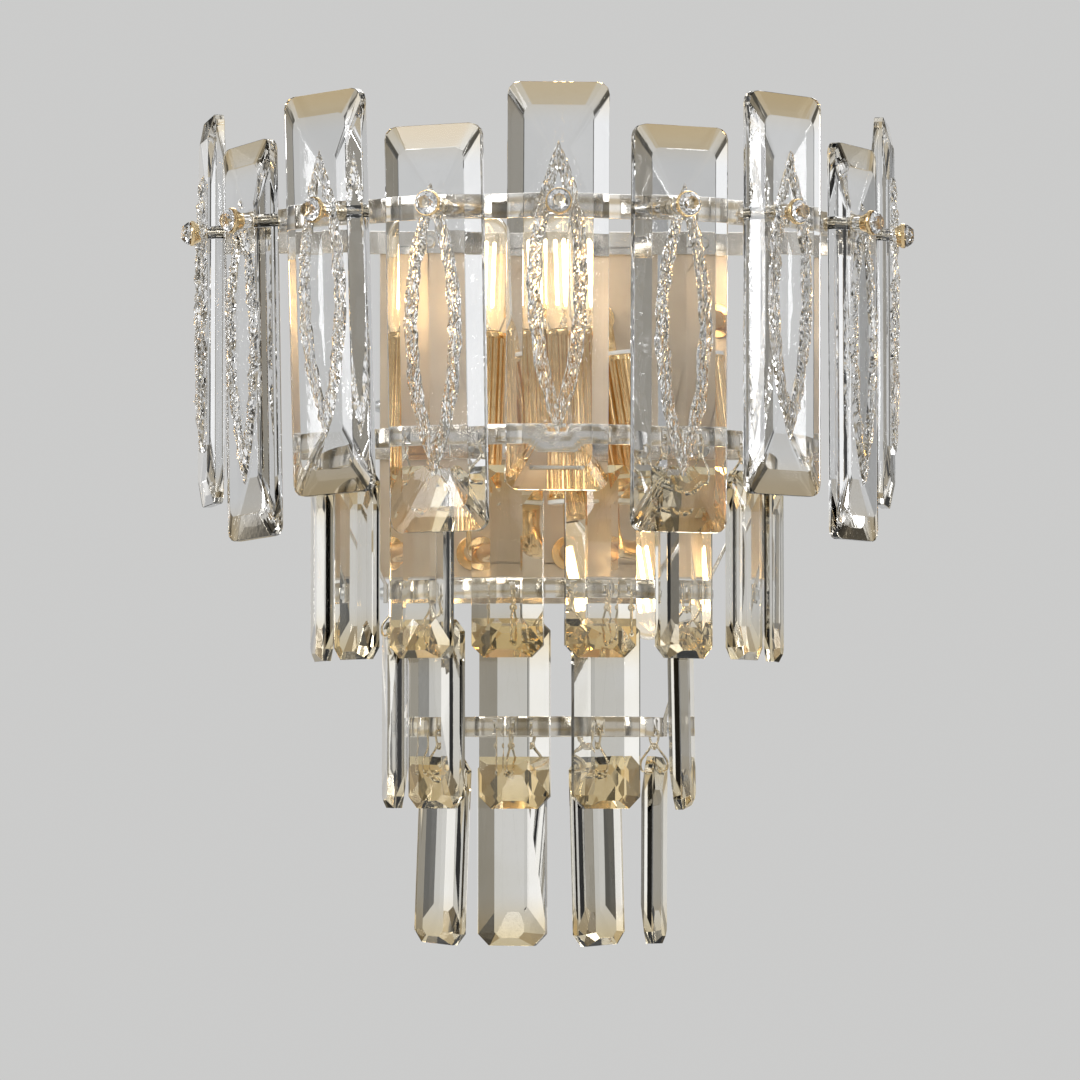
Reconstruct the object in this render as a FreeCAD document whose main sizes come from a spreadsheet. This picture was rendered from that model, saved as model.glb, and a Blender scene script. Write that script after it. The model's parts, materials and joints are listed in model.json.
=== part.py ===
import FreeCAD, Part
import math
import os
import Sketcher

# Crystal wall sconce in millimetres. The wall is the plane y = 0 and the light stands out toward -Y,
# +Z is up, +X is to the right as the light is seen. The origin is on the wall, midway between the
# two wall screws. Angles round the light are measured from -Y, positive toward +X.

doc = FreeCAD.newDocument("CrystalSconce")
sheet = doc.addObject("Spreadsheet::Sheet", "Sizes")

DRIVING_SIZES = [
    ("boxWidth", 174, "back box, across"),
    ("boxHeight", 181, "back box, up"),
    ("boxDepth", 25, "back box, out from the wall"),
    ("sheetThickness", 1.5, "sheet of the back box"),
    ("bracketLength", 170.6, "wall bracket over its bent tabs"),
    ("bracketHeight", 30, "wall bracket, up"),
    ("bracketThickness", 2, "sheet of the wall bracket"),
    ("bracketTab", 18, "length of the bracket's bent tabs"),
    ("wallScrewSpacing", 100, "between the two wall screws"),
    ("wallScrewHole", 2.6, "radius of a wall screw hole"),
    ("cableHole", 11, "radius of the cable entry"),
    ("arcCentre", 36, "distance of the bands' arc centre from the wall"),
    ("bandThickness", 2, "flat bar of the bands"),
    ("bandCorner", 4, "outside radius of a band's rear corners"),
    ("topBandHeight", 12, "height of the top band"),
    ("bandHeight", 10, "height of the other bands"),
    ("topBandRadius", 164, "middle radius of the top band"),
    ("secondBandRadius", 118, "middle radius of the second band"),
    ("thirdBandRadius", 82, "middle radius of the third band"),
    ("lowestBandRadius", 60, "middle radius of the lowest band"),
    ("topBandLevel", 85, "middle of the top band above the origin"),
    ("secondBandLevel", -24, "the same for the second band"),
    ("thirdBandLevel", -99.5, "the same for the third band"),
    ("lowestBandLevel", -169.2, "the same for the lowest band"),
    ("chordScrewSpacing", 120, "between the screws that hold a band to the box"),
    ("screwHole", 2.0, "radius of a clearance hole for the frame screws"),
    ("screwRadius", 1.9, "shank of a frame screw"),
    ("screwLength", 6, "shank of a frame screw"),
    ("screwHeadRadius", 3.5, "pan head"),
    ("screwHeadHeight", 2.4, "pan head"),
    ("screwSlot", 0.9, "width of the slot in a pan head"),
    ("strutWidth", 6, "flat bar of the struts, out from the wall"),
    ("strutInset", 29, "rear edge of the struts from the wall"),
    ("barLength", 200, "long crystal bar"),
    ("barWidth", 50, "long crystal bar"),
    ("barDepth", 12, "long crystal bar"),
    ("barCorner", 6, "cut corners of the long bar"),
    ("barSideBevel", 8, "front bevel along the sides, as seen"),
    ("barEndBevel", 12, "front bevel at the ends, as seen"),
    ("barFrontDrop", 3, "depth of the front bevels"),
    ("barRearFlat", 10, "width of the rear ridge"),
    ("barRearEnd", 31, "length of the rear end facets"),
    ("barRearDrop", 4.5, "depth of the rear bevels"),
    ("barGap", 0.15, "play between a bar and what it sits between"),
    ("highPinDrop", 59.5, "pin below the top of a raised bar"),
    ("lowPinDrop", 39.5, "pin below the top of a lowered bar"),
    ("leafTop", 27, "top of the leaf relief below the top of the bar"),
    ("leafBottom", 170, "bottom of the leaf relief below the top of the bar"),
    ("leafHalfWidth", 15, "half of the leaf's outer width"),
    ("leafStrand", 6.5, "width of the leaf's strands at its middle"),
    ("leafTipTop", 12, "solid length at the leaf's upper tip"),
    ("leafTipBottom", 17, "solid length at the leaf's lower tip"),
    ("leafHeight", 2.4, "relief of the leaf above the face"),
    ("leafSeat", 6.6, "radius of the clear seat round the pin"),
    ("journalRadius", 3.25, "stud where the bar turns on it"),
    ("journalPlay", 0.05, "radial play of the bar on its stud"),
    ("shoulderRadius", 4.2, "stud between band and bar"),
    ("shoulderLength", 4, "space between band and bar"),
    ("threadRadius", 2, "stud through the band and in the cap"),
    ("threadPlay", 0.1, "radial play round the thread"),
    ("studTail", 3.4, "thread beyond the journal, inside the cap"),
    ("peenRadius", 3.6, "peened head behind the band"),
    ("peenHeight", 1.4, "peened head behind the band"),
    ("capCollarRadius", 4.7, "collar of the cap beside the bar"),
    ("capCollarHeight", 0.8, "collar of the cap beside the bar"),
    ("capSmallRadius", 4, "neck of the cap"),
    ("capRimRadius", 6.1, "rim of the cap"),
    ("capLength", 6.6, "length of the cap"),
    ("capRecess", 2.2, "depth of the seat for the round stone"),
    ("stoneRadius", 5.1, "round stone at its girdle"),
    ("stoneHeight", 6.6, "round stone, over all"),
    ("crystalLength", 96, "small crystal"),
    ("crystalWidth", 36, "small crystal"),
    ("crystalDepth", 11, "small crystal"),
    ("crystalCorner", 6, "cut corners of the small crystal"),
    ("crystalFrontFlat", 16, "width of the front facet"),
    ("crystalFrontEnd", 4, "length of the front end facets"),
    ("crystalFrontDrop", 3, "depth of the front facets"),
    ("crystalRearFlat", 12, "width of the rear facet"),
    ("crystalRearEnd", 17, "length of the rear end facets"),
    ("crystalRearDrop", 4, "depth of the rear facets"),
    ("crystalHoleDrop", 8, "hook hole below the crystal's top"),
    ("crystalHole", 1.2, "radius of the hook hole in a crystal"),
    ("hookWire", 0.6, "radius of the hook wire"),
    ("hookDrop", 22, "from the band's hole to the crystal's hole"),
    ("hookTopHalf", 2.4, "half of the hook's upper leg"),
    ("hookWaistHalf", 0.95, "half of the hook's waist"),
    ("hookWaistDrop", 8.5, "waist below the upper leg"),
    ("hookFootHalf", 7.2, "half of the hook's lower leg"),
    ("hookShoulderDrop", 15.5, "shoulder of the lower loop"),
    ("hookBead", 1.9, "radius of the bead at the waist"),
    ("bandHole", 0.9, "radius of a hook hole in a band"),
    ("bandHoleRise", 3.5, "hook hole above a band's lower edge"),
    ("armRadius", 5, "tube of a lamp arm"),
    ("armBore", 3.6, "bore of a lamp arm"),
    ("armBend", 14, "bend of a lamp arm"),
    ("armRise", 8, "straight end of a lamp arm"),
    ("armInside", 5, "length of the arm inside the box"),
    ("armFlange", 9, "flange of the arm against the box"),
    ("armFlangeHeight", 3, "flange of the arm against the box"),
    ("holderFlange", 12.6, "radius of the flange under the sleeve"),
    ("holderFlangeHeight", 2, "height of the flange under the sleeve"),
    ("holderRadius", 9.6, "lamp holder inside the sleeve"),
    ("holderLength", 84, "lamp holder inside the sleeve"),
    ("socketRadius", 7.3, "socket for the bulb's cap"),
    ("socketDepth", 24, "socket for the bulb's cap"),
    ("sleeveRadius", 12, "reeded sleeve over its ribs"),
    ("sleeveBore", 10.2, "bore of the sleeve"),
    ("sleeveLength", 86, "reeded sleeve"),
    ("sleeveRim", 13, "rims of the sleeve"),
    ("sleeveRimHeight", 3, "rims of the sleeve"),
    ("fluteRadius", 1.5, "grooves of the sleeve"),
    ("bulbCapRadius", 7, "screw cap of the bulb"),
    ("bulbSkirt", 9, "radius of the skirt between cap and glass"),
    ("bulbSkirtHeight", 3, "height of the skirt between cap and glass"),
    ("stemFoot", 5, "foot of the stem inside the bulb"),
    ("stemRadius", 2, "neck of the stem inside the bulb"),
    ("stemHeight", 11, "stem inside the bulb"),
    ("stemDisc", 5.6, "radius of the disc that carries the filaments"),
    ("filamentRadius", 0.9, "filament"),
    ("filamentLength", 34, "filament"),
    ("filamentRing", 4.2, "from the bulb's axis to a filament"),
    ("bulbRadius", 11.5, "glass of the bulb"),
    ("bulbShoulder", 7, "taper at the foot of the glass"),
    ("bulbStraight", 42, "straight length of the glass"),
    ("glassThickness", 1, "wall of the glass"),
    ("terminalLength", 24, "terminal block"),
    ("terminalHeight", 16, "terminal block"),
    ("terminalDepth", 12, "terminal block"),
]

BAR_ANGLES = [-80, -60, -40, -20, 0, 20, 40, 60, 80]
BAR_LEANS = [0, 2.1, 2.1, 1.0, -0.3, -0.3, -0.3, 0.3, 0]
FLUTES = 18
FILAMENTS = 4

# A hanging crystal: place round its band, the way it faces, and how far it leans to the right.
SECOND_TIER = [(-78.75, -78.75, 0), (-56.25, -56.25, 0), (-33.75, -33.75, 0), (-11.25, -11.25, 0),
               (11.25, 11.25, 0), (33.75, 40, 0), (56.25, 61, 0), (78.75, 78.75, 0)]
THIRD_TIER = [(-74, -80, 0), (-44.5, -44.5, 0), (-13, -13, 0), (19.5, 19.5, 0), (54.5, 76, 5.3)]
LOWEST_TIER = [(-61, -50, -3.1), (-18.5, -20, 0), (22, 47, 2.2), (66, 76, -1.6)]

# A lamp: place of its arm on the box, reach from the wall, and turn of the arm from upright.
LAMPS = [(-38, -78, 90, 2), (12, -78, 100, -2), (27, 45, 70, 171)]

for row, (alias, number, meaning) in enumerate(DRIVING_SIZES, start=1):
    sheet.set("A%d" % row, meaning)
    sheet.set("B%d" % row, str(number))
    sheet.setAlias("B%d" % row, alias)
doc.recompute()

nodes = []


def size(alias):
    return float(getattr(sheet, alias))


def value(owner, formula):
    return float(owner.evalExpression(formula))


def upright(angle):
    return FreeCAD.Rotation(FreeCAD.Vector(0, 0, 1), angle)


def leaning(lean):
    return FreeCAD.Rotation(FreeCAD.Vector(0, 1, 0), -lean)


def on_arc(angle, radius, level):
    turn = math.radians(angle)
    return FreeCAD.Vector(radius * math.sin(turn), -size("arcCentre") - radius * math.cos(turn), level)


# ---- sketches and features -------------------------------------------------------------------

def new_body(label):
    body = doc.addObject("PartDesign::Body", label)
    body.Label = label
    return body


def new_sketch(body, name, role="XZ_Plane", across="0", up="0", out="0", turn=None):
    plane = [part for part in body.Origin.OriginFeatures if part.Role == role][0]
    sketch = body.newObject("Sketcher::SketchObject", name)
    sketch.AttachmentSupport = (plane, [""])
    sketch.MapMode = "FlatFace"
    if turn is not None:
        sketch.AttachmentOffset = turn
    for axis, formula in zip("xyz", (across, up, out)):
        sketch.setExpression("AttachmentOffset.Base." + axis, formula)
    return sketch


def constrain(sketch, name, formula, *where):
    index = sketch.addConstraint(Sketcher.Constraint(*where, value(sketch, formula)))
    sketch.renameConstraint(index, name)
    sketch.setExpression("Constraints." + name, formula)


def draw_polygon(sketch, points):
    corners = [FreeCAD.Vector(x, y, 0) for x, y in points]
    count = len(corners)
    for start, end in zip(corners, corners[1:] + corners[:1]):
        sketch.addGeometry(Part.LineSegment(start, end))
    for index in range(count):
        sketch.addConstraint(Sketcher.Constraint("Coincident", index, 2, (index + 1) % count, 1))


def draw_circle(sketch, radius):
    outline = Part.Circle(FreeCAD.Vector(), FreeCAD.Vector(0, 0, 1), value(sketch, radius))
    circle = sketch.addGeometry(outline)
    sketch.addConstraint(Sketcher.Constraint("Coincident", circle, 3, -1, 1))
    constrain(sketch, "radius", radius, "Radius", circle)


def draw_rectangle(sketch, width, height):
    x = value(sketch, width) / 2
    y = value(sketch, height) / 2
    draw_polygon(sketch, [(-x, -y), (x, -y), (x, y), (-x, y)])
    for line in (0, 2):
        sketch.addConstraint(Sketcher.Constraint("Horizontal", line))
    for line in (1, 3):
        sketch.addConstraint(Sketcher.Constraint("Vertical", line))
    sketch.addConstraint(Sketcher.Constraint("Symmetric", 0, 1, 1, 2, -1, 1))
    constrain(sketch, "width", width, "DistanceX", 0, 1, 0, 2)
    constrain(sketch, "height", height, "DistanceY", 1, 1, 1, 2)


def draw_cut_corner_outline(sketch, width, height, corner):
    x = value(sketch, width) / 2
    y = value(sketch, height) / 2
    cut = value(sketch, corner)
    draw_polygon(sketch, [(-x + cut, -y), (x - cut, -y), (x, -y + cut), (x, y - cut),
                          (x - cut, y), (-x + cut, y), (-x, y - cut), (-x, -y + cut)])
    bottom, right, top, left = 0, 2, 4, 6
    for line in (bottom, top):
        sketch.addConstraint(Sketcher.Constraint("Symmetric", line, 1, line, 2, -2))
    for line in (right, left):
        sketch.addConstraint(Sketcher.Constraint("Symmetric", line, 1, line, 2, -1))
    constrain(sketch, "bottomEdge", "%s - 2 * (%s)" % (width, corner), "DistanceX", bottom, 1, bottom, 2)
    constrain(sketch, "topEdge", "%s - 2 * (%s)" % (width, corner), "DistanceX", top, 2, top, 1)
    constrain(sketch, "rightEdge", "%s - 2 * (%s)" % (height, corner), "DistanceY", right, 1, right, 2)
    constrain(sketch, "leftEdge", "%s - 2 * (%s)" % (height, corner), "DistanceY", left, 2, left, 1)
    constrain(sketch, "halfRight", "(%s) / 2" % width, "DistanceX", -1, 1, right, 1)
    constrain(sketch, "halfLeft", "(%s) / 2" % width, "DistanceX", left, 1, -1, 1)
    constrain(sketch, "halfTop", "(%s) / 2" % height, "DistanceY", -1, 1, top, 1)
    constrain(sketch, "halfBottom", "(%s) / 2" % height, "DistanceY", bottom, 1, -1, 1)


def draw_band_outline(sketch, middle_radius, inset):
    # A half circle in front, short straight returns and a straight chord with rounded corners behind.
    radius = "%s + Sizes.bandThickness / 2 - %s" % (middle_radius, inset)
    depth = "Sizes.arcCentre - Sizes.boxDepth - %s" % inset
    corner = "Sizes.bandCorner - %s" % inset
    first = sketch.GeometryCount
    r = value(sketch, radius)
    d = value(sketch, depth)
    c = value(sketch, corner)
    up = FreeCAD.Vector(0, 0, 1)
    arc = sketch.addGeometry(Part.ArcOfCircle(Part.Circle(FreeCAD.Vector(), up, r), math.pi, 2 * math.pi))
    right = sketch.addGeometry(Part.LineSegment(FreeCAD.Vector(r, 0, 0), FreeCAD.Vector(r, d - c, 0)))
    right_corner = Part.Circle(FreeCAD.Vector(r - c, d - c, 0), up, c)
    bend_right = sketch.addGeometry(Part.ArcOfCircle(right_corner, 0, math.pi / 2))
    chord = sketch.addGeometry(Part.LineSegment(FreeCAD.Vector(r - c, d, 0), FreeCAD.Vector(c - r, d, 0)))
    left_corner = Part.Circle(FreeCAD.Vector(c - r, d - c, 0), up, c)
    bend_left = sketch.addGeometry(Part.ArcOfCircle(left_corner, math.pi / 2, math.pi))
    left = sketch.addGeometry(Part.LineSegment(FreeCAD.Vector(-r, d - c, 0), FreeCAD.Vector(-r, 0, 0)))
    for before, after in ((arc, right), (right, bend_right), (bend_right, chord), (chord, bend_left),
                          (bend_left, left)):
        sketch.addConstraint(Sketcher.Constraint("Tangent", before, 2, after, 1))
    sketch.addConstraint(Sketcher.Constraint("Coincident", left, 2, arc, 1))
    sketch.addConstraint(Sketcher.Constraint("Coincident", arc, 3, -1, 1))
    sketch.addConstraint(Sketcher.Constraint("PointOnObject", arc, 1, -1))
    sketch.addConstraint(Sketcher.Constraint("PointOnObject", arc, 2, -1))
    sketch.addConstraint(Sketcher.Constraint("Equal", bend_right, bend_left))
    constrain(sketch, "radius%d" % first, radius, "Radius", arc)
    constrain(sketch, "corner%d" % first, corner, "Radius", bend_right)
    constrain(sketch, "depth%d" % first, depth, "DistanceY", -1, 1, chord, 1)


def draw_leaf_outline(sketch, half_width, half_height, rise):
    # Two arcs that meet in points above and below.
    first = sketch.GeometryCount
    w = value(sketch, half_width)
    h = value(sketch, half_height)
    z = value(sketch, rise)
    radius = (w * w + h * h) / (2 * w)
    sweep = math.asin(h / radius)
    up = FreeCAD.Vector(0, 0, 1)
    right_circle = Part.Circle(FreeCAD.Vector(w - radius, z, 0), up, radius)
    left_circle = Part.Circle(FreeCAD.Vector(radius - w, z, 0), up, radius)
    right = sketch.addGeometry(Part.ArcOfCircle(right_circle, -sweep, sweep))
    left = sketch.addGeometry(Part.ArcOfCircle(left_circle, math.pi - sweep, math.pi + sweep))
    sketch.addConstraint(Sketcher.Constraint("Coincident", right, 2, left, 1))
    sketch.addConstraint(Sketcher.Constraint("Coincident", left, 2, right, 1))
    sketch.addConstraint(Sketcher.Constraint("PointOnObject", right, 2, -2))
    sketch.addConstraint(Sketcher.Constraint("PointOnObject", right, 1, -2))
    sketch.addConstraint(Sketcher.Constraint("Equal", right, left))
    constrain(sketch, "upper%d" % first, "%s + %s" % (rise, half_height), "DistanceY", -1, 1, right, 2)
    constrain(sketch, "height%d" % first, "2 * (%s)" % half_height, "DistanceY", right, 1, right, 2)
    arc_radius = "((%s)^2 + (%s)^2) / (2 * (%s))" % (half_width, half_height, half_width)
    constrain(sketch, "arc%d" % first, arc_radius, "Radius", right)


def add_pad(body, name, sketch, length):
    pad = body.newObject("PartDesign::Pad", name)
    pad.Profile = sketch
    pad.setExpression("Length", length)
    return pad


def add_pocket(body, name, sketch, length, outward=False):
    # An outward pocket runs along the sketch's normal, the other way round it runs against it.
    pocket = body.newObject("PartDesign::Pocket", name)
    pocket.Profile = sketch
    pocket.setExpression("Length", length)
    pocket.Reversed = outward
    return pocket


def add_loft(body, name, sketches):
    loft = body.newObject("PartDesign::AdditiveLoft", name)
    loft.Profile = sketches[0]
    loft.Sections = sketches[1:]
    loft.Ruled = True
    return loft


def add_polar_pattern(body, name, feature, angle, occurrences):
    pattern = body.newObject("PartDesign::PolarPattern", name)
    pattern.Originals = [feature]
    axis = [part for part in body.Origin.OriginFeatures if part.Role == "Z_Axis"][0]
    pattern.Axis = (axis, [""])
    pattern.Angle = angle
    pattern.Occurrences = occurrences
    body.Tip = pattern
    return pattern


def finish_node(thing, placement=None):
    if placement is not None:
        thing.Placement = placement
    nodes.append(thing)
    return thing


# ---- turned pieces and groups ----------------------------------------------------------------

def add_turned(label, steps):
    # Coaxial cylinders and cones along +Z: lower radius, upper radius, length and foot of each.
    pieces = []
    for number, (lower, upper, length, foot) in enumerate(steps):
        kind = "Part::Cylinder" if lower == upper else "Part::Cone"
        piece = doc.addObject(kind, "%sStep%d" % (label, number))
        if lower == upper:
            piece.setExpression("Radius", lower)
        else:
            piece.setExpression("Radius1", lower)
            piece.setExpression("Radius2", upper)
        piece.setExpression("Height", length)
        piece.setExpression("Placement.Base.z", foot)
        pieces.append(piece)
    if len(pieces) == 1:
        return pieces[0]
    joined = doc.addObject("Part::MultiFuse", label + "Form")
    joined.Shapes = pieces
    return joined


def add_cut(label, base, tool):
    cut = doc.addObject("Part::Cut", label)
    cut.Base = base
    cut.Tool = tool
    return cut


def add_group(label, form, placements):
    # Like pieces that share one node, each a solid of its own.
    doc.recompute()
    copies = []
    for placement in placements:
        for solid in form.Shape.Solids:
            copy = solid.copy()
            copy.Placement = placement.multiply(solid.Placement)
            copies.append(copy)
    group = doc.addObject("Part::Feature", label)
    group.Label = label
    group.Shape = Part.makeCompound(copies)
    return finish_node(group)


def outward_placement(angle, radius, level):
    # The form's +Z points out along the given angle.
    lie_down = FreeCAD.Rotation(FreeCAD.Vector(1, 0, 0), 90)
    return FreeCAD.Placement(on_arc(angle, radius, level), upright(angle).multiply(lie_down))


# ---- back box and wall bracket ---------------------------------------------------------------

def build_bracket():
    body = new_body("mounting_bracket")
    blank = new_sketch(body, "BracketBlank")
    draw_rectangle(blank, "Sizes.bracketLength", "Sizes.bracketHeight")
    add_pad(body, "BracketPad", blank, "Sizes.bracketTab")
    inside = new_sketch(body, "BracketInside", out="Sizes.bracketThickness")
    draw_rectangle(inside, "Sizes.bracketLength - 2 * Sizes.bracketThickness", "Sizes.bracketHeight + 2")
    add_pocket(body, "BracketChannel", inside, "Sizes.bracketTab", outward=True)
    cable = new_sketch(body, "CableEntry")
    draw_circle(cable, "Sizes.cableHole")
    add_pocket(body, "CableHole", cable, "Sizes.bracketTab", outward=True)
    for side, name in ((-1, "Left"), (1, "Right")):
        screw = new_sketch(body, "WallScrew" + name, across="%d * Sizes.wallScrewSpacing / 2" % side)
        draw_circle(screw, "Sizes.wallScrewHole")
        add_pocket(body, "WallScrewHole" + name, screw, "Sizes.bracketTab", outward=True)
        tab = new_sketch(body, "TabScrew" + name, role="YZ_Plane", across="-Sizes.boxDepth / 2")
        draw_circle(tab, "Sizes.screwHole")
        add_pocket(body, "TabHole" + name, tab, "Sizes.bracketLength", outward=side > 0)
    return finish_node(body)


def build_back_box():
    body = new_body("back_box")
    blank = new_sketch(body, "BoxBlank")
    draw_rectangle(blank, "Sizes.boxWidth", "Sizes.boxHeight")
    add_pad(body, "BoxPad", blank, "Sizes.boxDepth")
    inside = new_sketch(body, "BoxInside")
    draw_rectangle(inside, "Sizes.boxWidth - 2 * Sizes.sheetThickness",
                   "Sizes.boxHeight - 2 * Sizes.sheetThickness")
    add_pocket(body, "BoxHollow", inside, "Sizes.boxDepth - Sizes.sheetThickness", outward=True)
    for side, name in ((-1, "Left"), (1, "Right")):
        for level, band in (("Sizes.topBandLevel", "Top"), ("Sizes.secondBandLevel", "Second")):
            screw = new_sketch(body, "Chord" + band + name, up=level,
                               across="%d * Sizes.chordScrewSpacing / 2" % side)
            draw_circle(screw, "Sizes.screwHole")
            add_pocket(body, "ChordHole" + band + name, screw, "Sizes.boxDepth", outward=True)
        wall = new_sketch(body, "SideScrew" + name, role="YZ_Plane", across="-Sizes.boxDepth / 2")
        draw_circle(wall, "Sizes.screwHole")
        add_pocket(body, "SideHole" + name, wall, "Sizes.boxWidth", outward=side > 0)
    for number, (across, up, reach, turn) in enumerate(LAMPS, start=1):
        arm = new_sketch(body, "ArmHole%d" % number, across=str(across), up=str(up))
        draw_circle(arm, "Sizes.armRadius + Sizes.threadPlay")
        add_pocket(body, "ArmPocket%d" % number, arm, "Sizes.boxDepth", outward=True)
    return finish_node(body)


def build_terminal_block():
    body = new_body("terminal_block")
    blank = new_sketch(body, "TerminalBlank")
    draw_rectangle(blank, "Sizes.terminalLength", "Sizes.terminalHeight")
    add_pad(body, "TerminalPad", blank, "Sizes.terminalDepth")
    for pole in (-1, 0, 1):
        way = new_sketch(body, "Way%d" % (pole + 2), role="XY_Plane",
                         across="%d * Sizes.terminalLength / 3" % pole, up="-Sizes.terminalDepth / 3")
        draw_circle(way, "Sizes.terminalDepth / 6")
        add_pocket(body, "WayIn%d" % (pole + 2), way, "Sizes.terminalHeight / 3", outward=True)
    waist = new_sketch(body, "TerminalStep", out="Sizes.terminalDepth * 2 / 3")
    draw_rectangle(waist, "Sizes.terminalLength", "Sizes.terminalHeight / 2")
    add_pad(body, "TerminalRidge", waist, "Sizes.terminalDepth / 2")
    place = FreeCAD.Vector(size("cableHole") + size("terminalLength") / 2 + 5, -size("bracketThickness"), 0)
    return finish_node(body, FreeCAD.Placement(place, upright(0)))


# ---- bands, struts and screws ----------------------------------------------------------------

def add_stud_holes(body, radius):
    first = FreeCAD.Placement(FreeCAD.Vector(), leaning(-BAR_ANGLES[0]))
    stud = new_sketch(body, "StudHole", turn=first)
    draw_circle(stud, "Sizes.threadRadius + Sizes.threadPlay")
    hole = add_pocket(body, "StudPocket", stud, radius + " + Sizes.bandThickness", outward=True)
    add_polar_pattern(body, "StudHoles", hole, BAR_ANGLES[-1] - BAR_ANGLES[0], len(BAR_ANGLES))


def add_hook_holes(body, label, radius, height, tier):
    plane = [part for part in body.Origin.OriginFeatures if part.Role == "XY_Plane"][0]
    lie_down = FreeCAD.Rotation(FreeCAD.Vector(1, 0, 0), 90)
    for number, (angle, facing, lean) in enumerate(tier, start=1):
        centre = on_arc(angle, size(radius.split(".")[1]), 0) + FreeCAD.Vector(0, size("arcCentre"), 0)
        hook = body.newObject("Sketcher::SketchObject", "%sHook%d" % (label, number))
        hook.AttachmentSupport = (plane, [""])
        hook.MapMode = "FlatFace"
        hook.AttachmentOffset = FreeCAD.Placement(centre, upright(facing).multiply(lie_down))
        hook.setExpression("AttachmentOffset.Base.z", "Sizes.bandHoleRise - %s / 2" % height)
        draw_circle(hook, "Sizes.bandHole")
        for outward in (False, True):
            name = "%sHookHole%d%d" % (label, number, outward)
            add_pocket(body, name, hook, "2 * Sizes.bandThickness", outward=outward)


def build_band(label, radius, height, level, tier):
    body = new_body(label)
    outline = new_sketch(body, label + "Outline", role="XY_Plane", out="-%s / 2" % height)
    draw_band_outline(outline, radius, "0")
    draw_band_outline(outline, radius, "Sizes.bandThickness")
    add_pad(body, label + "Strip", outline, height)
    if label == "ring_1":
        add_stud_holes(body, radius)
    add_hook_holes(body, label, radius, height, tier)
    if label in ("ring_1", "ring_2"):
        for side, name in ((-1, "Left"), (1, "Right")):
            screw = new_sketch(body, label + "Chord" + name,
                               across="%d * Sizes.chordScrewSpacing / 2" % side)
            draw_circle(screw, "Sizes.screwHole")
            add_pocket(body, label + "ChordHole" + name, screw, "Sizes.arcCentre - Sizes.boxDepth + 1")
    if label != "ring_1":
        strut = new_sketch(body, label + "Strut", role="YZ_Plane",
                           across="Sizes.arcCentre - Sizes.strutInset - Sizes.strutWidth / 2")
        draw_circle(strut, "Sizes.screwHole")
        for outward in (False, True):
            name = "%sStrutHole%d" % (label, outward)
            add_pocket(body, name, strut, radius + " + Sizes.bandThickness", outward=outward)
    place = FreeCAD.Vector(0, -size("arcCentre"), size(level.split(".")[1]))
    return finish_node(body, FreeCAD.Placement(place, upright(0)))


def strut_solid(side, lower_radius, lower_level, upper_radius, upper_level):
    # A flat strip: its foot lies outside the lower band and its head inside the upper one.
    thickness = size("bandThickness")
    half_band = size("bandHeight") / 2
    foot = lower_radius + thickness / 2
    head = upper_radius - thickness * 1.5
    outer = [(foot + thickness, lower_level - half_band), (foot + thickness, lower_level + half_band),
             (head + thickness, upper_level - half_band), (head + thickness, upper_level + half_band)]
    inner = [(x - thickness, z) for x, z in reversed(outer)]
    front = -size("strutInset") - size("strutWidth")
    corners = [FreeCAD.Vector(side * x, front, z) for x, z in outer + inner]
    profile = Part.Face(Part.makePolygon(corners + corners[:1]))
    strip = profile.extrude(FreeCAD.Vector(0, size("strutWidth"), 0))
    for x, level in ((foot, lower_level), (head, upper_level)):
        start = FreeCAD.Vector(side * (x - thickness), front + size("strutWidth") / 2, level)
        sideways = FreeCAD.Vector(side, 0, 0)
        strip = strip.cut(Part.makeCylinder(size("screwHole"), 3 * thickness, start, sideways))
    return strip


def build_struts():
    group = doc.addObject("Part::Feature", "side_struts")
    group.Label = "side_struts"
    solids = []
    for side in (-1, 1):
        solids.append(strut_solid(side, size("thirdBandRadius"), size("thirdBandLevel"),
                                  size("secondBandRadius"), size("secondBandLevel")))
        solids.append(strut_solid(side, size("lowestBandRadius"), size("lowestBandLevel"),
                                  size("thirdBandRadius"), size("thirdBandLevel")))
    group.Shape = Part.makeCompound(solids)
    return finish_node(group)


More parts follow.
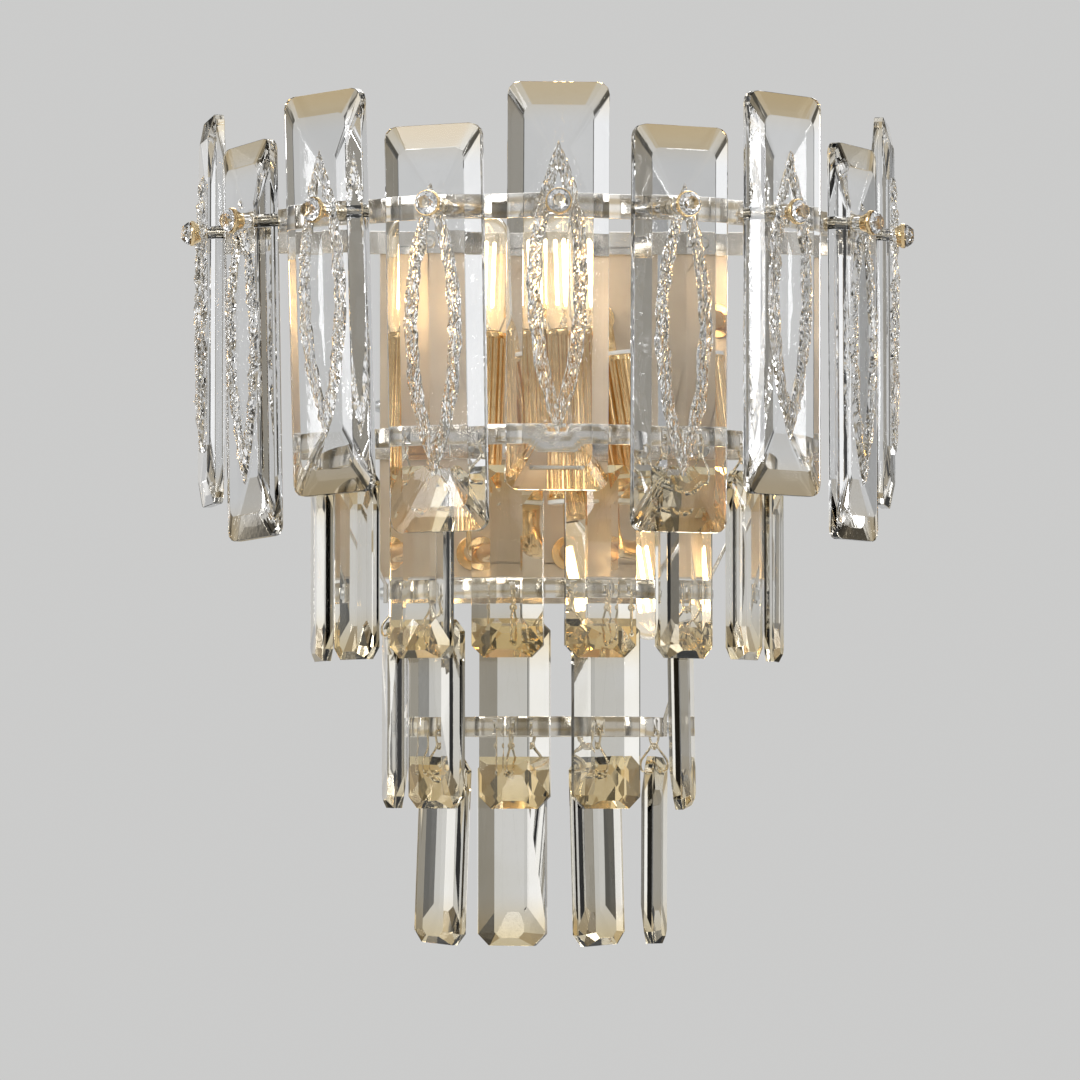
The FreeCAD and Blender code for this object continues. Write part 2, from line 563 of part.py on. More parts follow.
def build_frame_screws():
    shank = ("Sizes.screwRadius", "Sizes.screwRadius", "Sizes.screwLength", "-Sizes.screwLength")
    head = ("Sizes.screwHeadRadius", "Sizes.screwHeadRadius * 0.75", "Sizes.screwHeadHeight", "0")
    slot = doc.addObject("Part::Box", "ScrewSlot")
    slot.setExpression("Length", "2 * Sizes.screwHeadRadius + 2")
    slot.setExpression("Width", "Sizes.screwSlot")
    slot.setExpression("Height", "Sizes.screwHeadHeight")
    slot.setExpression("Placement.Base.x", "-Sizes.screwHeadRadius - 1")
    slot.setExpression("Placement.Base.y", "-Sizes.screwSlot / 2")
    slot.setExpression("Placement.Base.z", "Sizes.screwHeadHeight / 2")
    screw = add_cut("FrameScrew", add_turned("PlainScrew", [shank, head]), slot)
    thickness = size("bandThickness")
    placements = []
    toward_viewer = FreeCAD.Rotation(FreeCAD.Vector(1, 0, 0), 90)
    for side in (-1, 1):
        for level in ("topBandLevel", "secondBandLevel"):
            across = side * size("chordScrewSpacing") / 2
            seat = FreeCAD.Vector(across, -size("boxDepth") - thickness, size(level))
            placements.append(FreeCAD.Placement(seat, toward_viewer))
        sideways = FreeCAD.Rotation(FreeCAD.Vector(0, 1, 0), 90 * side)
        seats = [FreeCAD.Vector(side * size("boxWidth") / 2, -size("boxDepth") / 2, 0)]
        strut_middle = -size("strutInset") - size("strutWidth") / 2
        for radius, level, layers in (("secondBandRadius", "secondBandLevel", 0.5),
                                      ("thirdBandRadius", "thirdBandLevel", 1.5),
                                      ("lowestBandRadius", "lowestBandLevel", 1.5)):
            across = side * (size(radius) + layers * thickness)
            seats.append(FreeCAD.Vector(across, strut_middle, size(level)))
        placements += [FreeCAD.Placement(seat, sideways) for seat in seats]
    return add_group("frame_screws", screw, placements)


# ---- long bars, their studs and caps ---------------------------------------------------------

def bar_face_radius():
    return size("topBandRadius") + size("bandThickness") / 2 + size("shoulderLength") + size("barDepth")


def build_bar(number, angle, lean):
    body = new_body("bar_%d" % number)
    drop = "Sizes.highPinDrop" if number % 2 else "Sizes.lowPinDrop"
    middle = "%s - Sizes.barLength / 2" % drop
    front_flat = "Sizes.barWidth - 2 * Sizes.barSideBevel"
    front_length = "Sizes.barLength - 2 * Sizes.barEndBevel"
    rear_length = "Sizes.barLength - 2 * Sizes.barRearEnd"
    levels = [("Rear", "-Sizes.barDepth / 2", "Sizes.barRearFlat", rear_length, "Sizes.barCorner / 2"),
              ("RearGirdle", "Sizes.barRearDrop - Sizes.barDepth / 2", "Sizes.barWidth", "Sizes.barLength",
               "Sizes.barCorner"),
              ("FrontGirdle", "Sizes.barDepth / 2 - Sizes.barFrontDrop", "Sizes.barWidth", "Sizes.barLength",
               "Sizes.barCorner"),
              ("Front", "Sizes.barDepth / 2", front_flat, front_length, "Sizes.barCorner")]
    outlines = []
    for name, out, width, length, corner in levels:
        outline = new_sketch(body, "Bar%d%s" % (number, name), up=middle, out=out)
        draw_cut_corner_outline(outline, width, length, corner)
        outlines.append(outline)
    add_loft(body, "Bar%dGlass" % number, outlines)
    leaf = new_sketch(body, "Bar%dLeaf" % number, out="Sizes.barDepth / 2")
    half_height = "(Sizes.leafBottom - Sizes.leafTop) / 2"
    rise = "(%s - (Sizes.leafBottom + Sizes.leafTop) / 2)" % drop
    draw_leaf_outline(leaf, "Sizes.leafHalfWidth", half_height, rise)
    inner_half = "(%s - (Sizes.leafTipTop + Sizes.leafTipBottom) / 2)" % half_height
    inner_rise = "(%s + (Sizes.leafTipBottom - Sizes.leafTipTop) / 2)" % rise
    draw_leaf_outline(leaf, "(Sizes.leafHalfWidth - Sizes.leafStrand)", inner_half, inner_rise)
    add_pad(body, "Bar%dRelief" % number, leaf, "Sizes.leafHeight")
    seat = new_sketch(body, "Bar%dSeat" % number, out="Sizes.barDepth / 2 + Sizes.leafHeight")
    draw_circle(seat, "Sizes.leafSeat")
    add_pocket(body, "Bar%dSeatCut" % number, seat, "Sizes.leafHeight")
    pin = new_sketch(body, "Bar%dPin" % number, out="-Sizes.barDepth")
    draw_circle(pin, "Sizes.journalRadius + Sizes.journalPlay")
    add_pocket(body, "Bar%dPinHole" % number, pin, "2 * Sizes.barDepth", outward=True)
    place = on_arc(angle, bar_face_radius() - size("barDepth") / 2, size("topBandLevel"))
    return finish_node(body, FreeCAD.Placement(place, upright(angle).multiply(leaning(lean))))


def build_studs():
    # The form's +Z points outward and its foot is at the band's outer face.
    shoulder = "Sizes.shoulderLength - Sizes.barGap"
    journal = "Sizes.barDepth + 2 * Sizes.barGap"
    journal_end = "Sizes.shoulderLength + Sizes.barDepth + Sizes.barGap"
    thread = "(Sizes.bandThickness + Sizes.threadPlay)"
    peen_foot = "-%s - Sizes.peenHeight" % thread
    steps = [("Sizes.peenRadius", "Sizes.peenRadius", "Sizes.peenHeight", peen_foot),
             ("Sizes.threadRadius", "Sizes.threadRadius", thread, "-%s" % thread),
             ("Sizes.shoulderRadius", "Sizes.shoulderRadius", shoulder, "0"),
             ("Sizes.journalRadius", "Sizes.journalRadius", journal, shoulder),
             ("Sizes.threadRadius", "Sizes.threadRadius", "Sizes.studTail", journal_end)]
    stud = add_turned("BarStud", steps)
    seat = size("topBandRadius") + size("bandThickness") / 2
    placements = [outward_placement(angle, seat, size("topBandLevel")) for angle in BAR_ANGLES]
    return add_group("bar_studs", stud, placements)


def cap_placements(extra):
    seat = bar_face_radius() + size("barGap") + extra
    return [outward_placement(angle, seat, size("topBandLevel")) for angle in BAR_ANGLES]


def build_caps():
    collar_foot = "Sizes.capLength - Sizes.capRecess / 2"
    collar = ("Sizes.capRimRadius", "Sizes.capRimRadius", "Sizes.capRecess / 2", collar_foot)
    flare = ("Sizes.capSmallRadius", "Sizes.capRimRadius", collar_foot, "0")
    neck = ("Sizes.capCollarRadius", "Sizes.capCollarRadius", "Sizes.capCollarHeight", "0")
    outside = add_turned("StudCap", [neck, flare, collar])
    thread_hole = ("Sizes.threadRadius + Sizes.threadPlay", "Sizes.threadRadius + Sizes.threadPlay",
                   "Sizes.studTail + Sizes.threadPlay + 1", "-1")
    recess = ("Sizes.stoneRadius + Sizes.threadPlay", "Sizes.stoneRadius + Sizes.threadPlay",
              "Sizes.capRecess + 1", "Sizes.capLength - Sizes.capRecess")
    inside = add_turned("StudCapInside", [thread_hole, recess])
    return add_group("stud_caps", add_cut("StudCapForm", outside, inside), cap_placements(0))


def ring_of_points(radius, level, count, turn=0):
    points = []
    for index in range(count + 1):
        angle = math.radians(turn) + 2 * math.pi * index / count
        points.append(FreeCAD.Vector(radius * math.cos(angle), radius * math.sin(angle), level))
    return Part.makePolygon(points)


def build_cap_stones():
    # A round stone in eight-sided steps: pavilion in the seat, girdle at the rim, crown and table.
    girdle = size("stoneRadius")
    height = size("stoneHeight")
    steps = [(0.6, 0.02), (1, 0.3), (1, 0.38), (0.82, 0.72), (0.5, 1)]
    sections = [ring_of_points(girdle * share, height * rise, 8) for share, rise in steps]
    stone = doc.addObject("Part::Feature", "CapStoneForm")
    stone.Shape = Part.makeLoft(sections, True, True)
    return add_group("cap_crystals", stone, cap_placements(size("capLength") - size("capRecess")))


# ---- hanging crystals and hooks --------------------------------------------------------------

def build_crystal(label, placement):
    body = new_body(label)
    middle = "Sizes.crystalHoleDrop - Sizes.crystalLength / 2"
    levels = [("Rear", "-Sizes.crystalDepth / 2", "Sizes.crystalRearFlat",
               "Sizes.crystalLength - 2 * Sizes.crystalRearEnd", "Sizes.crystalCorner / 2"),
              ("RearGirdle", "Sizes.crystalRearDrop - Sizes.crystalDepth / 2", "Sizes.crystalWidth",
               "Sizes.crystalLength", "Sizes.crystalCorner"),
              ("FrontGirdle", "Sizes.crystalDepth / 2 - Sizes.crystalFrontDrop", "Sizes.crystalWidth",
               "Sizes.crystalLength", "Sizes.crystalCorner"),
              ("Front", "Sizes.crystalDepth / 2", "Sizes.crystalFrontFlat",
               "Sizes.crystalLength - 2 * Sizes.crystalFrontEnd", "Sizes.crystalCorner / 2")]
    outlines = []
    for name, out, width, length, corner in levels:
        outline = new_sketch(body, label + name, up=middle, out=out)
        draw_cut_corner_outline(outline, width, length, corner)
        outlines.append(outline)
    add_loft(body, label + "Glass", outlines)
    hole = new_sketch(body, label + "Hole", out="-Sizes.crystalDepth")
    draw_circle(hole, "Sizes.crystalHole")
    add_pocket(body, label + "HookHole", hole, "2 * Sizes.crystalDepth", outward=True)
    return finish_node(body, placement)


def hook_shape():
    # One bent wire in the plane x = 0: a narrow loop through the band, a waist with a bead and
    # a wide loop through the crystal. Its two ends meet in the upper leg.
    top = size("hookTopHalf")
    waist = size("hookWaistHalf")
    foot = size("hookFootHalf")
    cut = foot / 4
    drop = size("hookDrop")
    side = [(0, 0), (top, 0), (top, -size("bandHoleRise") - 1), (waist, -size("hookWaistDrop")),
            (foot, -size("hookShoulderDrop")), (foot, cut - drop), (foot - cut, -drop)]
    half = [FreeCAD.Vector(0, y, z) for y, z in side]
    mirrored = [FreeCAD.Vector(0, -point.y, point.z) for point in reversed(half)]
    path = Part.makePolygon(half + mirrored)
    section = ring_of_points(size("hookWire"), 0, 8, 22.5)
    section.rotate(FreeCAD.Vector(), FreeCAD.Vector(1, 0, 0), 90)
    loop = path.makePipeShell([section], True, False, 1)
    bead = Part.makeSphere(size("hookBead"), FreeCAD.Vector(0, 0, -size("hookWaistDrop")))
    return loop, bead


def build_hook(label, placement):
    loop, bead = hook_shape()
    hook = doc.addObject("Part::Feature", label)
    hook.Label = label
    hook.Shape = loop.fuse(bead)
    return finish_node(hook, placement)


def build_tier(name, tier, radius, level):
    hole_level = level - size("bandHeight") / 2 + size("bandHoleRise")
    for number, (angle, facing, lean) in enumerate(tier, start=1):
        top = on_arc(angle, radius, hole_level)
        build_hook("%s_hook_%d" % (name, number), FreeCAD.Placement(top, upright(facing)))
        pivot = top - FreeCAD.Vector(0, 0, size("hookDrop"))
        hanging = upright(facing).multiply(leaning(lean))
        build_crystal("%s_crystal_%d" % (name, number), FreeCAD.Placement(pivot, hanging))


# ---- lamps -----------------------------------------------------------------------------------

def lamp_placements(from_axis):
    # The form's +Z points along the lamp, from the arm's level run; the arm turns in the box's hole.
    placements = []
    for across, up, reach, turn in LAMPS:
        swing = FreeCAD.Rotation(FreeCAD.Vector(0, 1, 0), turn)
        foot = FreeCAD.Vector(across, -reach, up) + swing.multVec(FreeCAD.Vector(0, 0, from_axis))
        placements.append(FreeCAD.Placement(foot, swing))
    return placements


def arm_end():
    return size("armBend") + size("armRise")


def build_arms():
    solids = []
    for across, up, reach, turn in LAMPS:
        bend = size("armBend")
        start = -size("boxDepth") + size("armInside")
        corner = FreeCAD.Vector(0, -reach + bend, 0)
        saved = bend * (1 - math.sqrt(0.5))
        middle = FreeCAD.Vector(0, saved - reach, saved)
        top = FreeCAD.Vector(0, -reach, bend)
        end = FreeCAD.Vector(0, -reach, bend + size("armRise"))
        run = Part.LineSegment(FreeCAD.Vector(0, start, 0), corner).toShape()
        elbow = Part.Arc(corner, middle, top).toShape()
        rise = Part.LineSegment(top, end).toShape()
        path = Part.Wire([run, elbow, rise])
        toward = FreeCAD.Vector(0, -1, 0)
        outside = Part.Wire(Part.makeCircle(size("armRadius"), FreeCAD.Vector(0, start, 0), toward))
        inside = Part.Wire(Part.makeCircle(size("armBore"), FreeCAD.Vector(0, start, 0), toward))
        flange = Part.makeCylinder(size("armFlange"), size("armFlangeHeight"),
                                   FreeCAD.Vector(0, -size("boxDepth"), 0), toward)
        arm = path.makePipeShell([outside], True, False).fuse(flange)
        arm = arm.cut(path.makePipeShell([inside], True, False))
        arm.Placement = FreeCAD.Placement(FreeCAD.Vector(across, 0, up),
                                          FreeCAD.Rotation(FreeCAD.Vector(0, 1, 0), turn))
        solids += arm.Solids
    group = doc.addObject("Part::Feature", "lamp_arms")
    group.Label = "lamp_arms"
    group.Shape = Part.makeCompound(solids)
    return finish_node(group)


def build_holders():
    flange = ("Sizes.holderFlange", "Sizes.holderFlange", "Sizes.holderFlangeHeight", "0")
    post = ("Sizes.holderRadius", "Sizes.holderRadius", "Sizes.holderLength", "Sizes.holderFlangeHeight")
    outside = add_turned("LampHolder", [flange, post])
    socket = ("Sizes.socketRadius", "Sizes.socketRadius", "Sizes.socketDepth + 1",
              "Sizes.holderLength + Sizes.holderFlangeHeight - Sizes.socketDepth")
    inside = add_turned("LampSocket", [socket])
    return add_group("lamp_holders", add_cut("LampHolderCut", outside, inside), lamp_placements(arm_end()))


def build_sleeves():
    body = new_body("SleeveForm")
    tube = new_sketch(body, "SleeveTube", role="XY_Plane")
    draw_circle(tube, "Sizes.sleeveRadius")
    add_pad(body, "SleevePad", tube, "Sizes.sleeveLength")
    flute = new_sketch(body, "SleeveFlute", role="XY_Plane",
                       across="Sizes.sleeveRadius + Sizes.fluteRadius / 3")
    draw_circle(flute, "Sizes.fluteRadius")
    groove = add_pocket(body, "SleeveGroove", flute, "Sizes.sleeveLength", outward=True)
    add_polar_pattern(body, "SleeveFlutes", groove, 360, FLUTES)
    for name, out in (("Lower", "0"), ("Upper", "Sizes.sleeveLength - Sizes.sleeveRimHeight")):
        rim = new_sketch(body, "SleeveRim" + name, role="XY_Plane", out=out)
        draw_circle(rim, "Sizes.sleeveRim")
        add_pad(body, "SleeveRimPad" + name, rim, "Sizes.sleeveRimHeight")
    bore = new_sketch(body, "SleeveBore", role="XY_Plane")
    draw_circle(bore, "Sizes.sleeveBore")
    add_pocket(body, "SleeveThrough", bore, "Sizes.sleeveLength", outward=True)
    return add_group("lamp_sleeves", body, lamp_placements(arm_end() + size("holderFlangeHeight")))


def bulb_form(label, wall):
    # The outside where the wall is "0", or the hollow inside with the wall taken off.
    radius = "Sizes.bulbRadius - " + wall
    foot = ("Sizes.bulbSkirt - " + wall, radius, "Sizes.bulbShoulder", "0")
    tube = (radius, radius, "Sizes.bulbStraight", "Sizes.bulbShoulder")
    dome = doc.addObject("Part::Sphere", label + "Dome")
    dome.setExpression("Radius", radius)
    dome.setExpression("Placement.Base.z", "Sizes.bulbShoulder + Sizes.bulbStraight")
    whole = doc.addObject("Part::Fuse", label + "Whole")
    whole.Base = add_turned(label, [foot, tube])
    whole.Tool = dome
    return whole


def build_bulbs():
    skirt_foot = arm_end() + size("holderFlangeHeight") + size("holderLength")
    cap = ("Sizes.bulbCapRadius", "Sizes.bulbCapRadius", "Sizes.socketDepth - 2", "2 - Sizes.socketDepth")
    skirt = ("Sizes.bulbCapRadius", "Sizes.bulbSkirt", "Sizes.bulbSkirtHeight", "0")
    stem = ("Sizes.stemFoot", "Sizes.stemRadius", "Sizes.stemHeight", "Sizes.bulbSkirtHeight")
    stem_top = "Sizes.bulbSkirtHeight + Sizes.stemHeight"
    disc = ("Sizes.stemDisc", "Sizes.stemDisc", "Sizes.filamentRadius", stem_top)
    base = doc.addObject("Part::MultiFuse", "BulbBaseForm")
    pieces = [add_turned("BulbBase", [cap, skirt, stem, disc])]
    for number in range(FILAMENTS):
        filament = ("Sizes.filamentRadius", "Sizes.filamentRadius", "Sizes.filamentLength", stem_top)
        stick = add_turned("Filament%d" % number, [filament])
        angle = 360 * number / FILAMENTS
        stick.setExpression("Placement.Base.x", "Sizes.filamentRing * cos(%g deg)" % angle)
        stick.setExpression("Placement.Base.y", "Sizes.filamentRing * sin(%g deg)" % angle)
        pieces.append(stick)
    base.Shapes = pieces
    add_group("bulb_bases", base, lamp_placements(skirt_foot))
    outside = bulb_form("BulbOutside", "0")
    shell = add_cut("BulbGlass", outside, bulb_form("BulbInside", "Sizes.glassThickness"))
    add_group("bulb_glasses", shell, lamp_placements(skirt_foot + size("bulbSkirtHeight")))


# ---- the whole light -------------------------------------------------------------------------

build_bracket()
build_back_box()
build_terminal_block()
build_band("ring_1", "Sizes.topBandRadius", "Sizes.topBandHeight", "Sizes.topBandLevel", [])
build_band("ring_2", "Sizes.secondBandRadius", "Sizes.bandHeight", "Sizes.secondBandLevel", SECOND_TIER)
build_band("ring_3", "Sizes.thirdBandRadius", "Sizes.bandHeight", "Sizes.thirdBandLevel", THIRD_TIER)
build_band("ring_4", "Sizes.lowestBandRadius", "Sizes.bandHeight", "Sizes.lowestBandLevel", LOWEST_TIER)
build_struts()
build_frame_screws()
for bar_number, (bar_angle, bar_lean) in enumerate(zip(BAR_ANGLES, BAR_LEANS), start=1):
    build_bar(bar_number, bar_angle, bar_lean)
build_studs()
build_caps()
build_cap_stones()
build_tier("tier_2", SECOND_TIER, size("secondBandRadius"), size("secondBandLevel"))
build_tier("tier_3", THIRD_TIER, size("thirdBandRadius"), size("thirdBandLevel"))
build_tier("tier_4", LOWEST_TIER, size("lowestBandRadius"), size("lowestBandLevel"))
build_arms()
build_holders()
build_sleeves()
build_bulbs()
doc.recompute()

failed = [thing.Label for thing in doc.Objects if "Invalid" in thing.State or "Error" in thing.State]
bad = [node.Label for node in nodes if node.Shape.isNull() or not node.Shape.isValid()]
if failed or bad:
    raise RuntimeError("failed objects: %s, bad shapes: %s" % (failed, bad))

os.makedirs("parts", exist_ok=True)
for node in nodes:
    node.Shape.exportStep(os.path.join("parts", node.Label + ".step"))
print(len(nodes), "sub-parts written")
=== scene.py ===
import json
import math
import bmesh
import bpy
from mathutils import Matrix, Vector, noise


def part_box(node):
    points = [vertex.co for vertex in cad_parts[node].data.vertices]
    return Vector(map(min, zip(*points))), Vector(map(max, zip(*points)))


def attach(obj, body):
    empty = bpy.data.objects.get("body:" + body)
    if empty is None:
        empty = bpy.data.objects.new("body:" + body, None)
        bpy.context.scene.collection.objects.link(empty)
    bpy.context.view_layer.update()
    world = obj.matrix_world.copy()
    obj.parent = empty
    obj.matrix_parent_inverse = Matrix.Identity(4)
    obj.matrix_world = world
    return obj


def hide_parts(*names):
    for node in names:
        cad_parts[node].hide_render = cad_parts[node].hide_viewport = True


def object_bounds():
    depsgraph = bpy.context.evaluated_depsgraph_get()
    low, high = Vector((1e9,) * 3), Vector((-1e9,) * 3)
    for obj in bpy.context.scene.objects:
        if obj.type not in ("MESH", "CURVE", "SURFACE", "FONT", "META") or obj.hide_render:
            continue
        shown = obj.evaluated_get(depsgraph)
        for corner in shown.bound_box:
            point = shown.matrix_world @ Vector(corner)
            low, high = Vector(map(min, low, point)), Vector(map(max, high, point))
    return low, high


# Crystal wall sconce, in metres: +Z is up, +X is to the right, the wall is y = 0.
# Pieces are shaped in a frame of their own, then moved to where the frame's joints and nodes are.

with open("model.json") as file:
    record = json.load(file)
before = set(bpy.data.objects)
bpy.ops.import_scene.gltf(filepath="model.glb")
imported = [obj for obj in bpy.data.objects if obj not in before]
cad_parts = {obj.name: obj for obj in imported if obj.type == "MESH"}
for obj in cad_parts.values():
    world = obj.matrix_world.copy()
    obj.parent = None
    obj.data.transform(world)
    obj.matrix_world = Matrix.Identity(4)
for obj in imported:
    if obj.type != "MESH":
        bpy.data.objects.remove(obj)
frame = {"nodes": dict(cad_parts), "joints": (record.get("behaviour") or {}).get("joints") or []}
cadLow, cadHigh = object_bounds()
nodes = frame["nodes"]
joints = {joint["name"]: joint for joint in frame["joints"]}


# materials

def newMaterial(name):
    material = bpy.data.materials.new(name)
    material.use_nodes = True
    tree = material.node_tree
    return material, tree, tree.nodes["Principled BSDF"]


def objectPoints(tree, stretch=(1, 1, 1)):
    coords = tree.nodes.new("ShaderNodeTexCoord")
    mapping = tree.nodes.new("ShaderNodeMapping")
    mapping.inputs["Scale"].default_value = stretch
    tree.links.new(coords.outputs["Object"], mapping.inputs["Vector"])
    return mapping.outputs["Vector"]


def noiseValue(tree, points, scale, detail=3):
    node = tree.nodes.new("ShaderNodeTexNoise")
    node.inputs["Scale"].default_value = scale
    node.inputs["Detail"].default_value = detail
    tree.links.new(points, node.inputs["Vector"])
    return node.outputs["Fac"]


def spread(tree, value, low, high):
    node = tree.nodes.new("ShaderNodeMapRange")
    node.inputs["From Min"].default_value = 0.3  # a noise's values are mostly within these
    node.inputs["From Max"].default_value = 0.7
    node.inputs["To Min"].default_value = low
    node.inputs["To Max"].default_value = high
    tree.links.new(value, node.inputs["Value"])
    return node.outputs["Result"]


def twoColours(tree, value, first, second):
    node = tree.nodes.new("ShaderNodeMix")
    node.data_type = "RGBA"
    node.inputs["A"].default_value = (*first, 1)
    node.inputs["B"].default_value = (*second, 1)
    tree.links.new(spread(tree, value, 0, 1), node.inputs["Factor"])
    return node.outputs["Result"]


def addBump(tree, shader, value, strength, distance):
    node = tree.nodes.new("ShaderNodeBump")
    node.inputs["Strength"].default_value = strength
    node.inputs["Distance"].default_value = distance
    tree.links.new(value, node.inputs["Height"])
    tree.links.new(node.outputs["Normal"], shader.inputs["Normal"])


# In crystalLook and pendantLook the last two entries are a painted warm glint: an amber tint towards the cut
# ends, and how far in it reaches.
crystalLook = {"ior": 1.54, "clear": (0.93, 0.935, 0.94), "faint": (0.87, 0.88, 0.89), "wave": 0.015,
               "rough": 0.02, "paintedGlintColour": (0.92, 0.83, 0.66), "paintedGlintReach": 0.022}
leafLook = {"ior": 1.54, "clear": (0.98, 0.98, 0.98), "faint": (0.80, 0.80, 0.79), "wave": 0.20, "rough": 0.10}
pendantLook = {"ior": 1.54, "clear": (0.94, 0.93, 0.90), "faint": (0.88, 0.86, 0.79), "wave": 0.015,
               "rough": 0.02, "paintedGlintColour": (0.90, 0.75, 0.46), "paintedGlintReach": 0.030}
stemLook = {"ior": 1.5, "clear": (0.97, 0.97, 0.96), "faint": (0.90, 0.90, 0.88), "wave": 0.02, "rough": 0.05}
bulbLook = {"ior": 1.45, "clear": (1.0, 0.98, 0.94), "faint": (0.97, 0.94, 0.88), "wave": 0.01, "rough": 0.02,
            "glowColour": (1.0, 0.80, 0.50), "glow": 0.05}
stoneLook = {"ior": 1.76, "clear": (1.0, 1.0, 1.0), "faint": (0.94, 0.95, 0.97), "wave": 0.0, "rough": 0.004}
glassGrain = {"tint": 35, "polish": 160, "wave": 220, "waveDepth": 0.0004, "shadow": (0.92, 0.93, 0.94)}
metalGrain = {"tone": 40, "polish": 120, "lines": 900, "lineDetail": 2, "lineDepth": 0.0002}
plainGrain = {"tone": 60, "polish": 200, "pores": 1500, "poreDepth": 0.0002}
glowGrain = {"tone": 500, "dim": 0.86, "roughness": 0.5}


def calculate(tree, operation, first, second=None):
    node = tree.nodes.new("ShaderNodeMath")
    node.operation = operation
    for socket, value in zip(node.inputs, (first, second)):
        if isinstance(value, (int, float)):
            socket.default_value = value
        elif value is not None:
            tree.links.new(value, socket)
    return node.outputs["Value"]


def paintedEndGlint(tree, colour, paintedGlintColour, rise, ends):
    # Painted warm glints: a crystal's cut ends are tinted amber in place of the warm light of the lamps and
    # gold parts seen through them.
    parts = tree.nodes.new("ShaderNodeSeparateXYZ")
    tree.links.new(objectPoints(tree), parts.inputs["Vector"])
    low, high = ends
    nearest = calculate(tree, "MINIMUM", calculate(tree, "SUBTRACT", parts.outputs["Z"], low),
                        calculate(tree, "SUBTRACT", high, parts.outputs["Z"]))
    fade = tree.nodes.new("ShaderNodeMapRange")
    fade.interpolation_type = "SMOOTHSTEP"
    fade.inputs["From Max"].default_value = rise
    tree.links.new(nearest, fade.inputs["Value"])
    node = tree.nodes.new("ShaderNodeMix")
    node.data_type = "RGBA"
    node.inputs["A"].default_value = (*paintedGlintColour, 1)
    tree.links.new(fade.outputs["Result"], node.inputs["Factor"])
    tree.links.new(colour, node.inputs["B"])
    return node.outputs["Result"]


def glassMaterial(name, look, ends=None):
    # Clear glass: a faint tint and polish marks that come and go. Its shadow lets light through.
    material, tree, shader = newMaterial(name)
    points = objectPoints(tree)
    colour = twoColours(tree, noiseValue(tree, points, glassGrain["tint"]), look["clear"], look["faint"])
    # Painted warm glints: an amber tint towards the cut ends.
    if ends:
        colour = paintedEndGlint(tree, colour, look["paintedGlintColour"], look["paintedGlintReach"], ends)
    shader.inputs["Transmission Weight"].default_value = 1
    shader.inputs["IOR"].default_value = look["ior"]
    tree.links.new(colour, shader.inputs["Base Color"])
    polish = noiseValue(tree, points, glassGrain["polish"])
    tree.links.new(spread(tree, polish, 0.0, look["rough"]), shader.inputs["Roughness"])
    if look["wave"]:
        wave = noiseValue(tree, points, glassGrain["wave"])
        addBump(tree, shader, wave, look["wave"], glassGrain["waveDepth"])
    if "glow" in look:
        shader.inputs["Emission Color"].default_value = (*look["glowColour"], 1)
        shader.inputs["Emission Strength"].default_value = look["glow"]
    path = tree.nodes.new("ShaderNodeLightPath")
    passing = tree.nodes.new("ShaderNodeBsdfTransparent")
    passing.inputs["Color"].default_value = (*glassGrain["shadow"], 1)
    mix = tree.nodes.new("ShaderNodeMixShader")
    tree.links.new(path.outputs["Is Shadow Ray"], mix.inputs["Fac"])
    tree.links.new(shader.outputs["BSDF"], mix.inputs[1])
    tree.links.new(passing.outputs["BSDF"], mix.inputs[2])
    tree.links.new(mix.outputs["Shader"], tree.nodes["Material Output"].inputs["Surface"])
    return material


def metalMaterial(name, first, second, rough, grain=(1, 1, 1), bump=0.02, metallic=1.0):
    # Two close tones, roughness that varies, and fine lines along the grain.
    material, tree, shader = newMaterial(name)
    points = objectPoints(tree)
    lines = noiseValue(tree, objectPoints(tree, grain), metalGrain["lines"], metalGrain["lineDetail"])
    tone = noiseValue(tree, points, metalGrain["tone"])
    polish = noiseValue(tree, points, metalGrain["polish"])
    shader.inputs["Metallic"].default_value = metallic
    tree.links.new(twoColours(tree, tone, first, second), shader.inputs["Base Color"])
    tree.links.new(spread(tree, polish, *rough), shader.inputs["Roughness"])
    addBump(tree, shader, lines, bump, metalGrain["lineDepth"])
    return material


def plainMaterial(name, first, second, rough, bump):
    # Ceramic or plastic: two close tones, roughness that varies, and fine pores.
    material, tree, shader = newMaterial(name)
    points = objectPoints(tree)
    tone = noiseValue(tree, points, plainGrain["tone"])
    polish = noiseValue(tree, points, plainGrain["polish"])
    pores = noiseValue(tree, points, plainGrain["pores"])
    tree.links.new(twoColours(tree, tone, first, second), shader.inputs["Base Color"])
    tree.links.new(spread(tree, polish, *rough), shader.inputs["Roughness"])
    addBump(tree, shader, pores, bump, plainGrain["poreDepth"])
    return material


def glowMaterial(name, colour, strength):
    material, tree, shader = newMaterial(name)
    points = objectPoints(tree)
    dimmer = tuple(glowGrain["dim"] * part for part in colour)
    warm = twoColours(tree, noiseValue(tree, points, glowGrain["tone"]), colour, dimmer)
    tree.links.new(warm, shader.inputs["Base Color"])
    tree.links.new(warm, shader.inputs["Emission Color"])
    shader.inputs["Emission Strength"].default_value = strength
    shader.inputs["Roughness"].default_value = glowGrain["roughness"]
    return material


